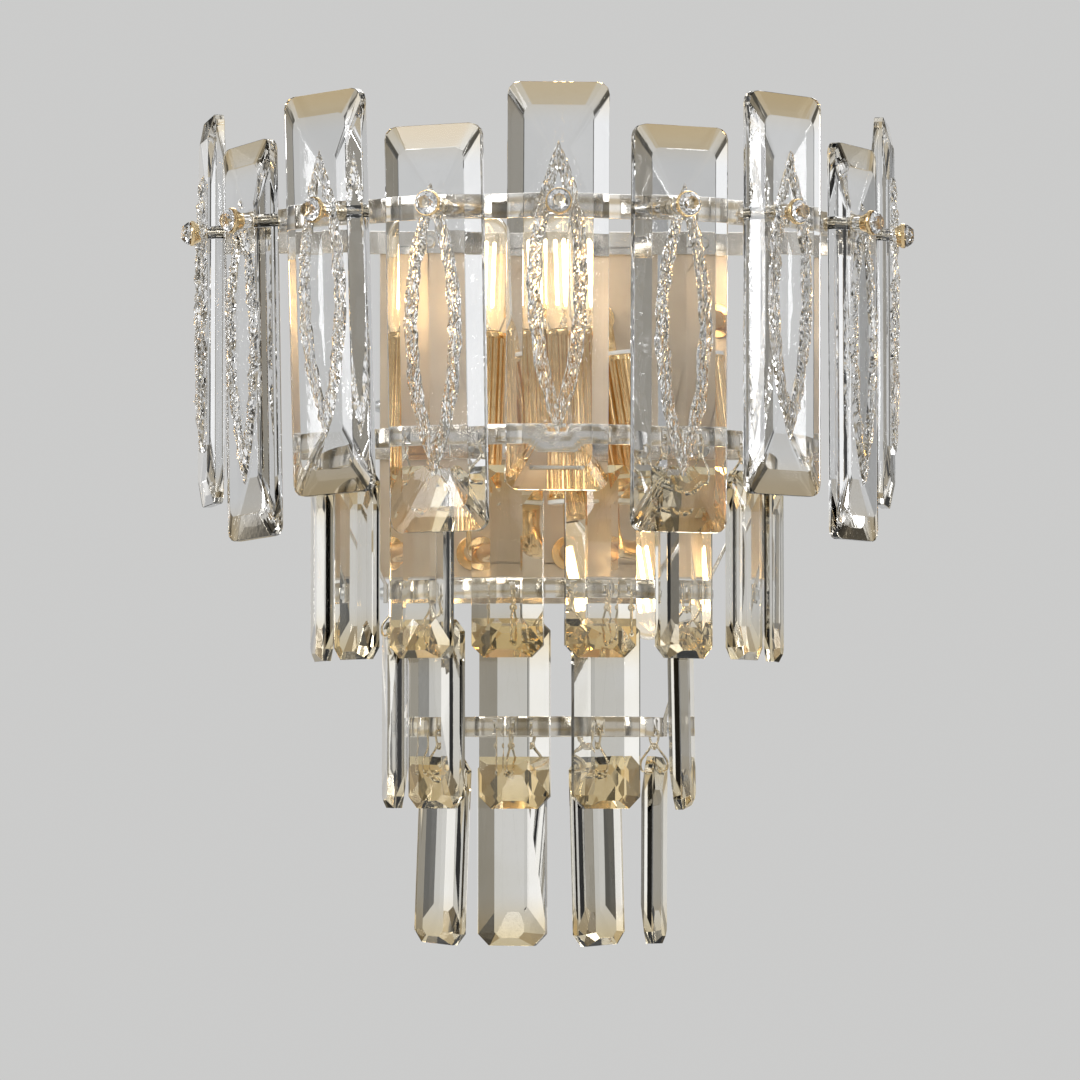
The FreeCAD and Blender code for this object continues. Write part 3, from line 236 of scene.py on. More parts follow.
leafCrystal = glassMaterial("leafCrystal", leafLook)
bulbGlass = glassMaterial("bulbGlass", bulbLook)
stemGlass = glassMaterial("stemGlass", stemLook)
stoneGlass = glassMaterial("stoneGlass", stoneLook)
bandChrome = metalMaterial("bandChrome", (0.88, 0.85, 0.80), (0.80, 0.75, 0.67), (0.05, 0.16), (1, 1, 40))
wireChrome = metalMaterial("wireChrome", (0.88, 0.82, 0.70), (0.78, 0.68, 0.50), (0.08, 0.18))
gold = metalMaterial("gold", (0.90, 0.66, 0.36), (0.78, 0.52, 0.26), (0.10, 0.24))
capGold = metalMaterial("capGold", (0.94, 0.74, 0.44), (0.84, 0.60, 0.31), (0.08, 0.18))
satinBox = metalMaterial("satinBox", (0.66, 0.56, 0.44), (0.58, 0.49, 0.38), (0.30, 0.44), (30, 1, 1),
                         bump=0.05, metallic=0.7)
zinc = metalMaterial("zinc", (0.70, 0.71, 0.72), (0.58, 0.60, 0.62), (0.25, 0.42))
capMetal = metalMaterial("capMetal", (0.82, 0.80, 0.76), (0.70, 0.67, 0.62), (0.18, 0.32))
ceramic = plainMaterial("ceramic", (0.86, 0.85, 0.82), (0.80, 0.78, 0.74), (0.15, 0.30), 0.02)
plastic = plainMaterial("plastic", (0.80, 0.80, 0.77), (0.74, 0.74, 0.70), (0.40, 0.55), 0.05)
filamentGlow = glowMaterial("filamentGlow", (1.0, 0.74, 0.40), 14)
print("materials:", len(bpy.data.materials))


# pieces

def finishPiece(bm, name, material, body, replaced=()):
    mesh = bpy.data.meshes.new(name)
    bm.to_mesh(mesh)
    bm.free()
    piece = bpy.data.objects.new(name, mesh)
    bpy.context.scene.collection.objects.link(piece)
    piece.data.materials.append(material)
    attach(piece, body)
    if replaced:
        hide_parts(*replaced)
    return piece


def smoothFaces(bm, sharpAngle):
    for face in bm.faces:
        face.smooth = True
    for edge in bm.edges:
        if len(edge.link_faces) == 2 and edge.calc_face_angle() > math.radians(sharpAngle):
            edge.smooth = False


joinWithin = 0.000002
edgeSizes = {"band": 0.00025, "box": 0.0005, "steel": 0.0003, "plastic": 0.0004, "lamp": 0.0003,
             "sleeve": 0.0002, "crystal": 0.00018, "crystalSharp": 12, "sharp": 30, "segments": 2}


def dress(node, material, edge=0.0, sharpAngle=edgeSizes["sharp"]):
    # A CAD node keeps its shape: its edges are softened and it gets its finish.
    owner = nodes[node]
    owner.data.materials.clear()
    owner.data.materials.append(material)
    if edge:
        weld = owner.modifiers.new("joinFaces", "WELD")
        weld.merge_threshold = joinWithin
        soft = owner.modifiers.new("softEdges", "BEVEL")
        soft.width = edge
        soft.segments = edgeSizes["segments"]
        soft.limit_method = "ANGLE"
        soft.angle_limit = math.radians(sharpAngle)


def jointPlace(joint):
    # The joint's point, with -Y turned to its outward axis.
    along = Vector(joint["axis"])
    turn = Matrix.Rotation(math.atan2(along.x, -along.y), 4, "Z")
    return Matrix.Translation(joint["pos_m"]) @ turn


def turnedForm(bm, profile, place, steps):
    # A half outline of (radius, height) turned round +Z, then moved to its place.
    corners = [bm.verts.new((radius, 0, height)) for radius, height in profile]
    edges = [bm.edges.new(pair) for pair in zip(corners, corners[1:])]
    made = bmesh.ops.spin(bm, geom=corners + edges, axis=(0, 0, 1), cent=(0, 0, 0), angle=2 * math.pi,
                          steps=steps, use_merge=True)
    # All that is linked to the outline belongs to the form.
    found = {item for item in made["geom_last"] if isinstance(item, bmesh.types.BMVert)} | set(corners)
    linked = set(found)
    front = list(found)
    while front:
        vert = front.pop()
        for edge in vert.link_edges:
            other = edge.other_vert(vert)
            if other not in linked:
                linked.add(other)
                front.append(other)
    form = list(linked)
    bmesh.ops.remove_doubles(bm, verts=form, dist=joinWithin)
    form = [vert for vert in form if vert.is_valid]
    bmesh.ops.transform(bm, matrix=place, verts=form)
    faces = list({face for vert in form for face in vert.link_faces})
    bmesh.ops.recalc_face_normals(bm, faces=faces)
    return form


# long bars

barSizes = {
    "length": 0.2, "width": 0.05, "depth": 0.012, "corner": 0.006, "cornerSteps": 3,
    "frontWidth": 0.034, "frontLength": 0.176, "frontDrop": 0.003,
    "rearWidth": 0.010, "rearLength": 0.138, "rearDrop": 0.0045,
    "highPin": 0.0595, "lowPin": 0.0395, "pinHole": 0.0033, "holeSides": 48, "edge": 0.00022,
    "swing": 2.3,
}
leafSizes = {
    "top": 0.029, "bottom": 0.173, "half": 0.015, "strand": 0.0070, "tipTop": 0.0155, "tipBottom": 0.017,
    "height": 0.0024, "rim": 0.3, "chip": 0.0017, "wander": 0.0016, "sunk": 0.0003, "seat": 0.0068,
    "around": 320, "across": 14, "lip": 0.00001, "grain": (480, 120), "octaves": 3, "wave": 90,
    "slipShare": 0.5, "slipScale": 0.8, "slipShift": 5, "ownSide": 3, "ownBend": 7.3, "ownChips": 11.0,
}


def barBody(pinDrop):
    # A slab with cut corners, bevelled to a table in front and a narrower one behind. The pin is at the origin.
    size = barSizes
    bm = bmesh.new()
    bmesh.ops.create_cube(bm, size=1)
    girdle = size["depth"] - size["frontDrop"] - size["rearDrop"]
    bmesh.ops.scale(bm, vec=(size["width"], girdle, size["length"]), verts=bm.verts)
    upright = [edge for edge in bm.edges if abs(edge.verts[0].co.y - edge.verts[1].co.y) > girdle / 2]
    bmesh.ops.bevel(bm, geom=upright, offset=size["corner"], segments=size["cornerSteps"], affect="EDGES",
                    profile=0.5, material=-1)
    for side, width, length, drop in ((-1, "frontWidth", "frontLength", "frontDrop"),
                                      (1, "rearWidth", "rearLength", "rearDrop")):
        bm.faces.ensure_lookup_table()
        cap = max(bm.faces, key=lambda face: face.normal.y * side)
        made = bmesh.ops.extrude_face_region(bm, geom=[cap])
        moved = [item for item in made["geom"] if isinstance(item, bmesh.types.BMVert)]
        bmesh.ops.delete(bm, geom=[cap], context="FACES")
        bmesh.ops.scale(bm, vec=(size[width] / size["width"], 1, size[length] / size["length"]), verts=moved)
        bmesh.ops.translate(bm, vec=(0, side * size[drop], 0), verts=moved)
        bm.normal_update()
    middle = size["depth"] / 2 - size["frontDrop"] - girdle / 2
    bmesh.ops.translate(bm, vec=(0, -middle, pinDrop - size["length"] / 2), verts=bm.verts)
    bmesh.ops.recalc_face_normals(bm, faces=bm.faces)
    bmesh.ops.bevel(bm, geom=list(bm.edges), offset=size["edge"], segments=1, affect="EDGES", profile=0.5,
                    material=-1)
    return bm


def ovalHalfWidth(half, tall, rise):
    # Half width of a pointed oval of two arcs, at a height above its middle.
    radius = (half * half + tall * tall) / (2 * half)
    return max(0.0, math.sqrt(max(0.0, radius * radius - rise * rise)) - radius + half)


def leafRing(pinDrop, number):
    # The raised leaf: a ring of faces between two pointed ovals, with rounded, chipped, wandering strands.
    size = leafSizes
    tall = (size["bottom"] - size["top"]) / 2
    middle = pinDrop - (size["bottom"] + size["top"]) / 2
    innerHalf = size["half"] - size["strand"]
    innerTall = tall - (size["tipTop"] + size["tipBottom"]) / 2
    innerRise = (size["tipBottom"] - size["tipTop"]) / 2
    face = -barSizes["depth"] / 2
    bm = bmesh.new()
    bmesh.ops.create_grid(bm, x_segments=size["around"], y_segments=size["across"], size=0.5)
    crossing = bm.verts.layers.float.new("crossing")
    for vert in bm.verts:
        way = vert.co.x + 0.5
        share = vert.co.y + 0.5
        vert[crossing] = 2 * share - 1
        side = 1 if way < 0.5 else -1
        level = abs(4 * way - 2) - 1
        outerX = side * ovalHalfWidth(size["half"], tall, tall * level)
        innerX = side * ovalHalfWidth(innerHalf, innerTall, innerTall * level)
        outerZ = tall * level
        innerZ = innerTall * level + innerRise
        along = Vector((side * size["ownSide"], number * size["ownBend"], outerZ * size["wave"]))
        drift = size["wander"] * noise.noise(along) * (1 - level * level)
        vert.co = ((1 - share) * outerX + share * innerX + drift, face + size["sunk"],
                   middle + (1 - share) * outerZ + share * innerZ)
    bmesh.ops.remove_doubles(bm, verts=bm.verts, dist=joinWithin / 2)
    made = bmesh.ops.extrude_face_region(bm, geom=list(bm.faces))
    top = [item for item in made["geom"] if isinstance(item, bmesh.types.BMVert)]
    for vert in top:
        point = vert.co
        if math.hypot(point.x, point.z) < size["seat"]:
            continue  # flat under the cap
        rough = Vector((point.x * size["grain"][0], number * size["ownChips"], point.z * size["grain"][1]))
        chip = noise.turbulence(rough, size["octaves"], False) * size["chip"]
        crown = math.sqrt(max(0, 1 - vert[crossing] ** 2))
        lift = size["height"] * (size["rim"] + (1 - size["rim"]) * crown) + chip
        shifted = rough * size["slipScale"] + Vector([size["slipShift"]] * 3)
        slip = noise.noise(shifted) * size["chip"] * size["slipShare"]
        vert.co = (point.x + slip, point.y - lift, point.z)
    bmesh.ops.recalc_face_normals(bm, faces=bm.faces)
    return bm


barGlass = [glassMaterial(name, crystalLook, (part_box(node)[0][2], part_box(node)[1][2]))
            for name, node in (("loweredCrystal", "bar_4"), ("raisedCrystal", "bar_5"))]


def barForm(number, joint):
    pinDrop = barSizes["highPin"] if number % 2 else barSizes["lowPin"]
    # The low limit is one swing past plumb, so it tells how far off plumb the bar rests.
    lean = math.radians(-joint["range_deg"][0] - barSizes["swing"])
    place = jointPlace(joint) @ Matrix.Rotation(-lean, 4, "Y")
    bm = barBody(pinDrop)
    pieces = []
    for form, name in ((bm, "bar_%d_glass" % number), (leafRing(pinDrop, number), "leafTool")):
        mesh = bpy.data.meshes.new(name)
        form.to_mesh(mesh)
        form.free()
        pieces.append(bpy.data.objects.new(name, mesh))
        bpy.context.scene.collection.objects.link(pieces[-1])
    hole = bmesh.new()
    bmesh.ops.create_cone(hole, cap_ends=True, segments=barSizes["holeSides"], radius1=barSizes["pinHole"],
                          radius2=barSizes["pinHole"], depth=4 * barSizes["depth"],
                          matrix=Matrix.Rotation(math.pi / 2, 4, "X"))
    holeMesh = bpy.data.meshes.new("holeTool")
    hole.to_mesh(holeMesh)
    hole.free()
    holeTool = bpy.data.objects.new("holeTool", holeMesh)
    bpy.context.scene.collection.objects.link(holeTool)
    bar, leaf = pieces
    for tool, operation in ((leaf, "UNION"), (holeTool, "DIFFERENCE")):
        cut = bar.modifiers.new(operation, "BOOLEAN")
        cut.object = tool
        cut.operation = operation
        cut.solver = "MANIFOLD"
    graph = bpy.context.evaluated_depsgraph_get()
    made = bpy.data.meshes.new_from_object(bar.evaluated_get(graph))
    result = bmesh.new()
    result.from_mesh(made)
    # Faces in front of the bar's table belong to the leaf.
    leafStart = -barSizes["depth"] / 2 - leafSizes["lip"]
    for face in result.faces:
        face.material_index = int(face.calc_center_median().y < leafStart)
    bmesh.ops.transform(result, matrix=place, verts=result.verts)
    for used in (bar, leaf, holeTool):
        bpy.data.objects.remove(used)
    node = "bar_%d" % number
    piece = finishPiece(result, node + "_crystal", barGlass[number % 2], node, (node,))
    piece.data.materials.append(leafCrystal)


for number in range(1, 10):
    barForm(number, joints["bar_%d_turn" % number])
print("bars: 9")


# studs, caps and round stones

studSizes = {"behind": 0.0021, "standOff": 0.004, "bar": 0.012, "play": 0.00015, "peen": 0.0036,
             "peenHeight": 0.0014, "thread": 0.002, "shoulder": 0.0042, "journal": 0.00325, "tail": 0.0034,
             "groove": 0.00035, "fineGroove": 0.00021, "pitch": 0.001, "steps": 32, "sharp": 40}
capSizes = {"small": 0.004, "rim": 0.0065, "length": 0.0066, "recess": 0.0022, "bead": 0.00025, "waist": 0.45,
            "gap": 0.0001, "steps": 40}
stoneSizes = {"girdle": 0.0058, "height": 0.00648,
              # share of the girdle's radius, share of the height, corners, turn in degrees
              "rings": [(0.55, 1.0, 8, 0), (0.80, 0.80, 8, 22.5), (1.0, 0.50, 16, 0), (1.0, 0.44, 16, 0),
                        (0.62, 0.20, 8, 22.5), (0.12, 0.0, 8, 0)]}


def outward(joint, reach):
    # +Z turned to point outward along the joint's axis, at a reach from the bar's middle plane.
    return jointPlace(joint) @ Matrix.Rotation(math.pi / 2, 4, "X") @ Matrix.Translation((0, 0, reach))


def ridges(radius, low, high, depth, pitch):
    # Grooves about a pitch apart, each with a round that rises and falls between shares of its step.
    count = max(1, round((high - low) / pitch))
    step = (high - low) / count
    profile = []
    for index in range(count):
        foot = low + index * step
        profile += [(radius - depth, foot), (radius, foot + step * 0.25), (radius, foot + step * 0.7),
                    (radius - depth, foot + step * 0.95)]
    return profile


def studProfile():
    # A riveted head behind the band, a ridged shoulder, the bar's journal and the tail that holds the cap.
    size = studSizes
    behind = -size["behind"]
    shoulderTop = size["standOff"] - size["play"]
    journalTop = shoulderTop + size["bar"] + 2 * size["play"]
    profile = [(0, behind - size["peenHeight"]), (size["peen"] * 0.7, behind - size["peenHeight"]),
               (size["peen"], behind - size["peenHeight"] * 0.5), (size["peen"], behind),
               (size["thread"], behind), (size["thread"], 0), (size["shoulder"], 0)]
    profile += ridges(size["shoulder"], 0, shoulderTop, size["groove"], size["pitch"])
    profile += ridges(size["journal"], shoulderTop, journalTop, size["fineGroove"], size["pitch"])
    profile += [(size["thread"], journalTop), (size["thread"], journalTop + size["tail"]),
                (0, journalTop + size["tail"])]
    return profile


def capProfile():
    # A cap that flares to a beaded rim, with a seat for the stone and a bore for the stud's tail.
    size = capSizes
    small, rim, bead, top = size["small"], size["rim"], size["bead"], size["length"]
    seat = top - size["recess"]
    stone = stoneSizes["girdle"] + size["gap"]
    bore = studSizes["thread"] + size["gap"]
    depth = studSizes["tail"] + size["gap"]
    waist = small + (rim - small) * size["waist"]
    return [(bore, 0), (small - bead, 0), (small, bead), (small, bead * 3), (small + bead * 0.6, bead * 4),
            (waist, seat * 0.7), (rim - bead, seat + bead), (rim, seat + bead * 2), (rim, top - bead * 2),
            (rim - bead, top), (stone, top), (stone, seat), (bore, seat), (bore, depth), (bore, 0)]


def cutStone(bm, place):
    # A round cut stone: rings of points for table, crown, girdle and pavilion, wrapped by flat facets.
    size = stoneSizes
    before = set(bm.verts)
    for share, rise, count, turn in size["rings"]:
        level = Matrix.Translation((0, 0, size["height"] * rise)) @ Matrix.Rotation(math.radians(turn), 4, "Z")
        bmesh.ops.create_circle(bm, segments=count, radius=size["girdle"] * share, matrix=level)
    points = [vert for vert in bm.verts if vert not in before]
    hull = bmesh.ops.convex_hull(bm, input=points)
    loose = [item for item in hull["geom_interior"] if isinstance(item, bmesh.types.BMVert)]
    bmesh.ops.delete(bm, geom=loose, context="VERTS")
    stone = [vert for vert in bm.verts if vert not in before]
    bmesh.ops.transform(bm, matrix=place, verts=stone)


def buildStuds():
    face = studSizes["bar"] / 2
    seat = -face - studSizes["standOff"]
    studs, caps, stones = bmesh.new(), bmesh.new(), bmesh.new()
    for number in range(1, 10):
        joint = joints["bar_%d_turn" % number]
        turnedForm(studs, studProfile(), outward(joint, seat), studSizes["steps"])
        turnedForm(caps, capProfile(), outward(joint, face + studSizes["play"]), capSizes["steps"])
        reach = face + studSizes["play"] + capSizes["length"] - capSizes["recess"]
        cutStone(stones, outward(joint, reach))
    smoothFaces(studs, studSizes["sharp"])
    smoothFaces(caps, studSizes["sharp"])
    finishPiece(studs, "ridged_studs", wireChrome, "root", ("bar_studs",))
    finishPiece(caps, "flared_caps", capGold, "root", ("stud_caps",))
    finishPiece(stones, "round_stones", stoneGlass, "root", ("cap_crystals",))


buildStuds()
print("studs, caps and stones: 9 of each")


# hooks and hanging crystals

hookSizes = {"wire": 0.0006, "topHalf": 0.0024, "topDrop": 0.0045, "waistHalf": 0.00095, "waistDrop": 0.0085,
             "footHalf": 0.0072, "shoulderDrop": 0.0155, "drop": 0.022, "footCut": 0.25, "round": 3,
             "smooth": 6, "sharp": 60, "bead": 0.0019, "beadSteps": 20,
             # share of the bead's radius and of its half height, from below to above
             "beadOutline": [(0, -1), (0.45, -0.95), (0.6, -0.8), (0.92, -0.4), (1, -0.12), (0.9, 0), (1, 0.12),
                             (0.92, 0.4), (0.6, 0.8), (0.45, 0.95), (0, 1)]}
tiers = {"tier_2": 8, "tier_3": 5, "tier_4": 4}


def hookPath():
    # One half of the wire's loop, then the same half mirrored: (sideways, up) from the hole in the band.
    size = hookSizes
    cut = size["footHalf"] * size["footCut"]
    half = [(size["topHalf"], 0), (size["topHalf"], -size["topDrop"]), (size["waistHalf"], -size["waistDrop"]),
            (size["footHalf"], -size["shoulderDrop"]), (size["footHalf"], cut - size["drop"]),
            (size["footHalf"] - cut, -size["drop"])]
    return half + [(-across, up) for across, up in reversed(half)]


def hookWire():
    curve = bpy.data.curves.new("hookWire", "CURVE")
    curve.dimensions = "3D"
    curve.bevel_depth = hookSizes["wire"]
    curve.bevel_resolution = hookSizes["round"]
    curve.resolution_u = hookSizes["smooth"]
    spline = curve.splines.new("NURBS")
    path = hookPath()
    spline.points.add(len(path) - 1)
    for point, (across, up) in zip(spline.points, path):
        point.co = (0, across, up, 1)
    spline.order_u = 3
    spline.use_cyclic_u = True
    holder = bpy.data.objects.new("hookWire", curve)
    bpy.context.scene.collection.objects.link(holder)
    graph = bpy.context.evaluated_depsgraph_get()
    mesh = bpy.data.meshes.new_from_object(holder.evaluated_get(graph))
    bpy.data.objects.remove(holder)
    return mesh


def buildHooks():
    wire = hookWire()
    size = hookSizes
    profile = [(size["bead"] * out, size["bead"] * up) for out, up in size["beadOutline"]]
    for tier, count in tiers.items():
        for number in range(1, count + 1):
            node = "%s_hook_%d" % (tier, number)
            bm = bmesh.new()
            bm.from_mesh(wire)
            turnedForm(bm, profile, Matrix.Translation((0, 0, -size["waistDrop"])), size["beadSteps"])
            bmesh.ops.transform(bm, matrix=jointPlace(joints[node + "_swing"]), verts=bm.verts)
            bmesh.ops.recalc_face_normals(bm, faces=bm.faces)
            smoothFaces(bm, size["sharp"])
            finishPiece(bm, node + "_wire", wireChrome, node, (node,))


buildHooks()
for tier, count in tiers.items():
    low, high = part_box("%s_crystal_1" % tier)
    tierGlass = glassMaterial(tier + "Glass", pendantLook, (low[2], high[2]))
    for number in range(1, count + 1):
        dress("%s_crystal_%d" % (tier, number), tierGlass, edgeSizes["crystal"], edgeSizes["crystalSharp"])
print("hanging crystals:", sum(tiers.values()))


# bands, box and lamps

for node in ("ring_1", "ring_2", "ring_3", "ring_4", "side_struts"):
    dress(node, bandChrome, edgeSizes["band"])
dress("back_box", satinBox, edgeSizes["box"])
dress("mounting_bracket", zinc, edgeSizes["steel"])
dress("frame_screws", zinc, edgeSizes["steel"])
dress("terminal_block", plastic, edgeSizes["plastic"])
dress("lamp_arms", gold, edgeSizes["lamp"])
dress("lamp_holders", ceramic, edgeSizes["lamp"])
dress("lamp_sleeves", gold, edgeSizes["sleeve"])

lampSizes = {"armEnd": 0.022, "flange": 0.002, "holder": 0.084, "socket": 0.024, "socketFloor": 0.002,
             "cap": 0.007, "capSteps": 40, "turns": 5, "skirt": 0.009, "skirtHeight": 0.003, "groove": 0.0008,
             "pitch": 0.0032, "filaments": 4, "filament": 0.0009, "filamentLength": 0.034,
             "filamentRing": 0.0042, "filamentSteps": 12, "stem": 0.0022, "stemSteps": 24, "foot": 0.012,
             "sharp": 50}
lamps = [{"across": -0.038, "up": -0.078, "reach": 0.09, "turn": 2},
         {"across": 0.012, "up": -0.078, "reach": 0.1, "turn": -2},
         {"across": 0.027, "up": 0.045, "reach": 0.07, "turn": 171}]


def lampPlace(lamp, height):
    # A height along a lamp, measured from the bend of its tube.
    swing = Matrix.Rotation(math.radians(lamp["turn"]), 4, "Y")
    bend = Matrix.Translation((lamp["across"], -lamp["reach"], lamp["up"]))
    return bend @ swing @ Matrix.Translation((0, 0, height))


def threadProfile():
    # The bulb's screw cap: contact, threads and skirt.
    size = lampSizes
    foot = size["socketFloor"] - size["socket"]
    profile = [(0, foot), (size["cap"] * 0.4, foot), (size["cap"] * 0.5, foot + 0.001),
               (size["cap"] * 0.85, foot + 0.0025)]
    for index in range(size["turns"]):
        low = foot + 0.004 + index * size["pitch"]
        profile += [(size["cap"] - size["groove"], low), (size["cap"], low + size["pitch"] * 0.5)]
    profile += [(size["cap"] - size["groove"], -0.001), (size["cap"], 0), (size["skirt"], size["skirtHeight"]),
                (0, size["skirtHeight"])]
    return profile


def buildBulbs():
    # In each bulb: its screw cap, a glass stem and glowing filaments that stand in a ring.
    size = lampSizes
    base = size["armEnd"] + size["flange"] + size["holder"]
    caps, filaments, stems = bmesh.new(), bmesh.new(), bmesh.new()
    for lamp in lamps:
        turnedForm(caps, threadProfile(), lampPlace(lamp, base), size["capSteps"])
        glassFoot = base + size["skirtHeight"]
        stem = [(0, 0.0012), (size["stem"] * 1.9, 0.0012), (size["stem"] * 1.5, 0.003), (size["stem"], 0.006),
                (size["stem"] * 0.7, size["foot"]), (size["stem"] * 0.9, size["foot"] + 0.001),
                (0, size["foot"] + 0.0015)]
        turnedForm(stems, stem, lampPlace(lamp, glassFoot), size["stemSteps"])
        for index in range(size["filaments"]):
            angle = 2 * math.pi / size["filaments"] * index
            spot = Matrix.Translation((size["filamentRing"] * math.cos(angle),
                                       size["filamentRing"] * math.sin(angle), size["foot"]))
            stick = [(0, 0), (size["filament"] * 0.8, 0.0003), (size["filament"], 0.001),
                     (size["filament"], size["filamentLength"] - 0.001),
                     (size["filament"] * 0.8, size["filamentLength"] - 0.0003), (0, size["filamentLength"])]
            turnedForm(filaments, stick, lampPlace(lamp, glassFoot) @ spot, size["filamentSteps"])
    for form in (caps, stems, filaments):
        smoothFaces(form, size["sharp"])
    finishPiece(caps, "screw_caps", capMetal, "root", ("bulb_bases",))
    finishPiece(stems, "bulb_stems", stemGlass, "root")
    finishPiece(filaments, "bulb_filaments", filamentGlow, "root")


dress("bulb_glasses", bulbGlass)
buildBulbs()
print("lamps:", len(lamps))


# floor, light and camera

stageSizes = {"floor": -0.5, "floorHalf": 4.0, "solid": 0.6, "faded": 1.1, "paint": (0.72, 0.72, 0.71),
              "roughness": 0.7}


def buildFloor():
    # A pale floor that fades into the backdrop away from the object.
    bm = bmesh.new()
    bmesh.ops.create_grid(bm, x_segments=1, y_segments=1, size=stageSizes["floorHalf"])
    bmesh.ops.translate(bm, vec=(0, 0, stageSizes["floor"]), verts=bm.verts)
    mesh = bpy.data.meshes.new("floor")
    bm.to_mesh(mesh)
    bm.free()
    floor = bpy.data.objects.new("floor", mesh)
    bpy.context.scene.collection.objects.link(floor)
    material, tree, shader = newMaterial("floorPaint")
    shader.inputs["Base Color"].default_value = (*stageSizes["paint"], 1)
    shader.inputs["Roughness"].default_value = stageSizes["roughness"]
    coords = tree.nodes.new("ShaderNodeTexCoord")
    length = tree.nodes.new("ShaderNodeVectorMath")
    length.operation = "LENGTH"
    fade = tree.nodes.new("ShaderNodeMapRange")
    fade.inputs["From Min"].default_value = stageSizes["solid"]
    fade.inputs["From Max"].default_value = stageSizes["faded"]
    clear = tree.nodes.new("ShaderNodeBsdfTransparent")
    mix = tree.nodes.new("ShaderNodeMixShader")
    tree.links.new(coords.outputs["Object"], length.inputs[0])
    tree.links.new(length.outputs["Value"], fade.inputs["Value"])
    tree.links.new(fade.outputs["Result"], mix.inputs["Fac"])
    tree.links.new(shader.outputs["BSDF"], mix.inputs[1])
    tree.links.new(clear.outputs["BSDF"], mix.inputs[2])
    tree.links.new(mix.outputs["Shader"], tree.nodes["Material Output"].inputs["Surface"])
    floor.data.materials.append(material)


worldSizes = {
    "fill": 0.75, "fillColour": (0.80, 0.81, 0.82), "backdrop": (0.60, 0.60, 0.595), "panels": 6,
    # tones across a panel: grey, white, dark, the backdrop, dark, grey
    "across": [(0.0, (0.30, 0.28, 0.24)), (0.02, (0.28, 0.26, 0.22)), (0.05, (1.0, 1.0, 1.0)),
               (0.24, (1.0, 1.0, 1.0)), (0.27, (0.07, 0.07, 0.07)), (0.33, (0.09, 0.09, 0.085)),
               (0.36, (0.60, 0.60, 0.595)), (0.70, (0.60, 0.60, 0.595)), (0.73, (0.08, 0.08, 0.075)),
               (0.79, (0.07, 0.07, 0.07)), (0.83, (0.26, 0.24, 0.20)), (1.0, (0.30, 0.28, 0.24))],
    # shares of those tones from straight below to straight above
    "upward": [(0.0, (1, 1, 1)), (0.396, (1, 1, 1)), (0.422, (0.86, 0.75, 0.56)), (0.456, (0.86, 0.75, 0.56)),
               (0.472, (1, 1, 1)), (0.578, (1, 1, 1)), (0.595, (0.62, 0.55, 0.43)), (0.671, (0.62, 0.55, 0.43)),
               (0.703, (1, 1, 1)), (1.0, (1, 1, 1))],
}


def toneRamp(tree, value, tones):
    node = tree.nodes.new("ShaderNodeValToRGB")
    ramp = node.color_ramp.elements
    while len(ramp) < len(tones):
        ramp.new(1.0)
    for element, (place, tone) in zip(ramp, tones):
        element.position = place
        element.color = (*tone, 1)
    tree.links.new(value, node.inputs["Fac"])
    return node.outputs["Color"]


def panelColour(tree):
    # The backdrop as pale panels all round, with dark, white and grey strips between.
    coords = tree.nodes.new("ShaderNodeTexCoord")
    parts = tree.nodes.new("ShaderNodeSeparateXYZ")
    tree.links.new(coords.outputs["Generated"], parts.inputs["Vector"])
    turn = calculate(tree, "ARCTAN2", parts.outputs["X"], parts.outputs["Y"])
    panel = calculate(tree, "MULTIPLY", turn, worldSizes["panels"] / (2 * math.pi))
    across = calculate(tree, "FRACT", calculate(tree, "ADD", panel, 0.5))
    upward = calculate(tree, "MULTIPLY", calculate(tree, "ADD", parts.outputs["Z"], 1), 0.5)
    seen = tree.nodes.new("ShaderNodeMix")
    seen.data_type = "RGBA"
    seen.blend_type = "MULTIPLY"
    seen.inputs["Factor"].default_value = 1
    tree.links.new(toneRamp(tree, across, worldSizes["across"]), seen.inputs["A"])
    tree.links.new(toneRamp(tree, upward, worldSizes["upward"]), seen.inputs["B"])
    return seen.outputs["Result"]


def buildWorld():
    # Plain fill light, the panels for what glass and metal see, and the backdrop for the camera.
    world = bpy.data.worlds.new("studio")
    world.use_nodes = True
    tree = world.node_tree
    plain = tree.nodes["Background"]
    plain.inputs["Color"].default_value = (*worldSizes["fillColour"], 1)
    plain.inputs["Strength"].default_value = worldSizes["fill"]
    backdrop = tree.nodes.new("ShaderNodeBackground")
    backdrop.inputs["Color"].default_value = (*worldSizes["backdrop"], 1)
    panels = tree.nodes.new("ShaderNodeBackground")
    tree.links.new(panelColour(tree), panels.inputs["Color"])
    path = tree.nodes.new("ShaderNodeLightPath")
    through = calculate(tree, "MAXIMUM", path.outputs["Is Glossy Ray"], path.outputs["Is Transmission Ray"])
    last = plain.outputs["Background"]
    for share, shader in ((through, panels), (path.outputs["Is Camera Ray"], backdrop)):
        mix = tree.nodes.new("ShaderNodeMixShader")
        tree.links.new(share, mix.inputs["Fac"])
        tree.links.new(last, mix.inputs[1])
        tree.links.new(shader.outputs["Background"], mix.inputs[2])
        last = mix.outputs["Shader"]
    tree.links.new(last, tree.nodes["World Output"].inputs["Surface"])
    bpy.context.scene.world = world


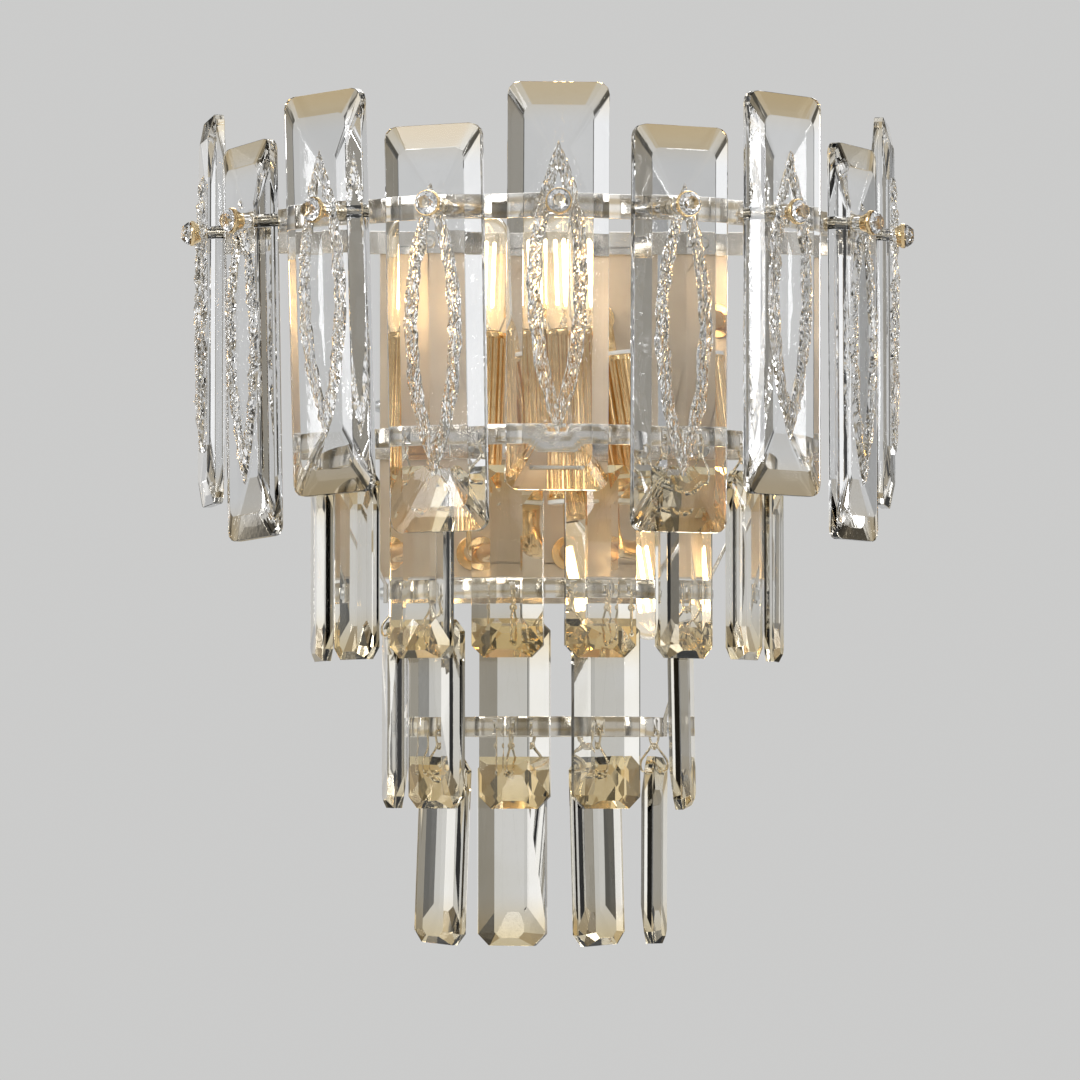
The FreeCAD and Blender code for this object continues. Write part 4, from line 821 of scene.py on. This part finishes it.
softLights = {
    "keyLight": {"place": (-0.9, -1.6, 1.0), "aim": -0.07, "width": 0.9, "height": 0.9, "power": 13},
    "leftTube": {"place": (-1.05, -1.31, 0.5), "aim": 0.5, "width": 0.035, "height": 1.2, "power": 1.5},
    "rightTube": {"place": (1.15, -1.29, 0.5), "aim": 0.5, "width": 0.035, "height": 1.2, "power": 1.5},
    "leftSideTube": {"place": (-1.6, -0.27, 0.5), "aim": 0.5, "width": 0.05, "height": 1.2, "power": 2.0},
    "rightSideTube": {"place": (1.6, -0.20, 0.5), "aim": 0.5, "width": 0.05, "height": 1.2, "power": 2.0},
    "backLight": {"place": (0.3, 1.3, 1.1), "aim": -0.07, "width": 0.9, "height": 0.6, "power": 8},
}
middle = (cadLow + cadHigh) / 2


def buildLights():
    for name, light in softLights.items():
        data = bpy.data.lights.new(name, "AREA")
        data.shape = "RECTANGLE"
        data.size = light["width"]
        data.size_y = light["height"]
        data.energy = light["power"]
        lamp = bpy.data.objects.new(name, data)
        lamp.location = light["place"]
        toward = Vector((middle.x, middle.y, light["aim"])) - lamp.location
        lamp.rotation_euler = toward.to_track_quat("-Z", "Y").to_euler()
        bpy.context.scene.collection.objects.link(lamp)


cameraSizes = {"place": (-0.085, -2.662, -0.1945), "aim": (-0.0088, -0.211, -0.0797), "lens": 168,
               "sensor": 36, "bounces": 24}  # bounces enough for light to cross several crystals


def buildCamera():
    data = bpy.data.cameras.new("camera")
    data.lens = cameraSizes["lens"]
    data.sensor_width = cameraSizes["sensor"]
    camera = bpy.data.objects.new("camera", data)
    camera.location = cameraSizes["place"]
    aim = Vector(cameraSizes["aim"]) - camera.location
    camera.rotation_euler = aim.to_track_quat("-Z", "Y").to_euler()
    bpy.context.scene.collection.objects.link(camera)
    bpy.context.scene.camera = camera


buildFloor()
buildWorld()
buildLights()
buildCamera()
scene = bpy.context.scene
scene.view_settings.view_transform = "Standard"
scene.cycles.max_bounces = cameraSizes["bounces"]
scene.cycles.transmission_bounces = cameraSizes["bounces"]
scene.cycles.transparent_max_bounces = cameraSizes["bounces"]
print("stage ready")
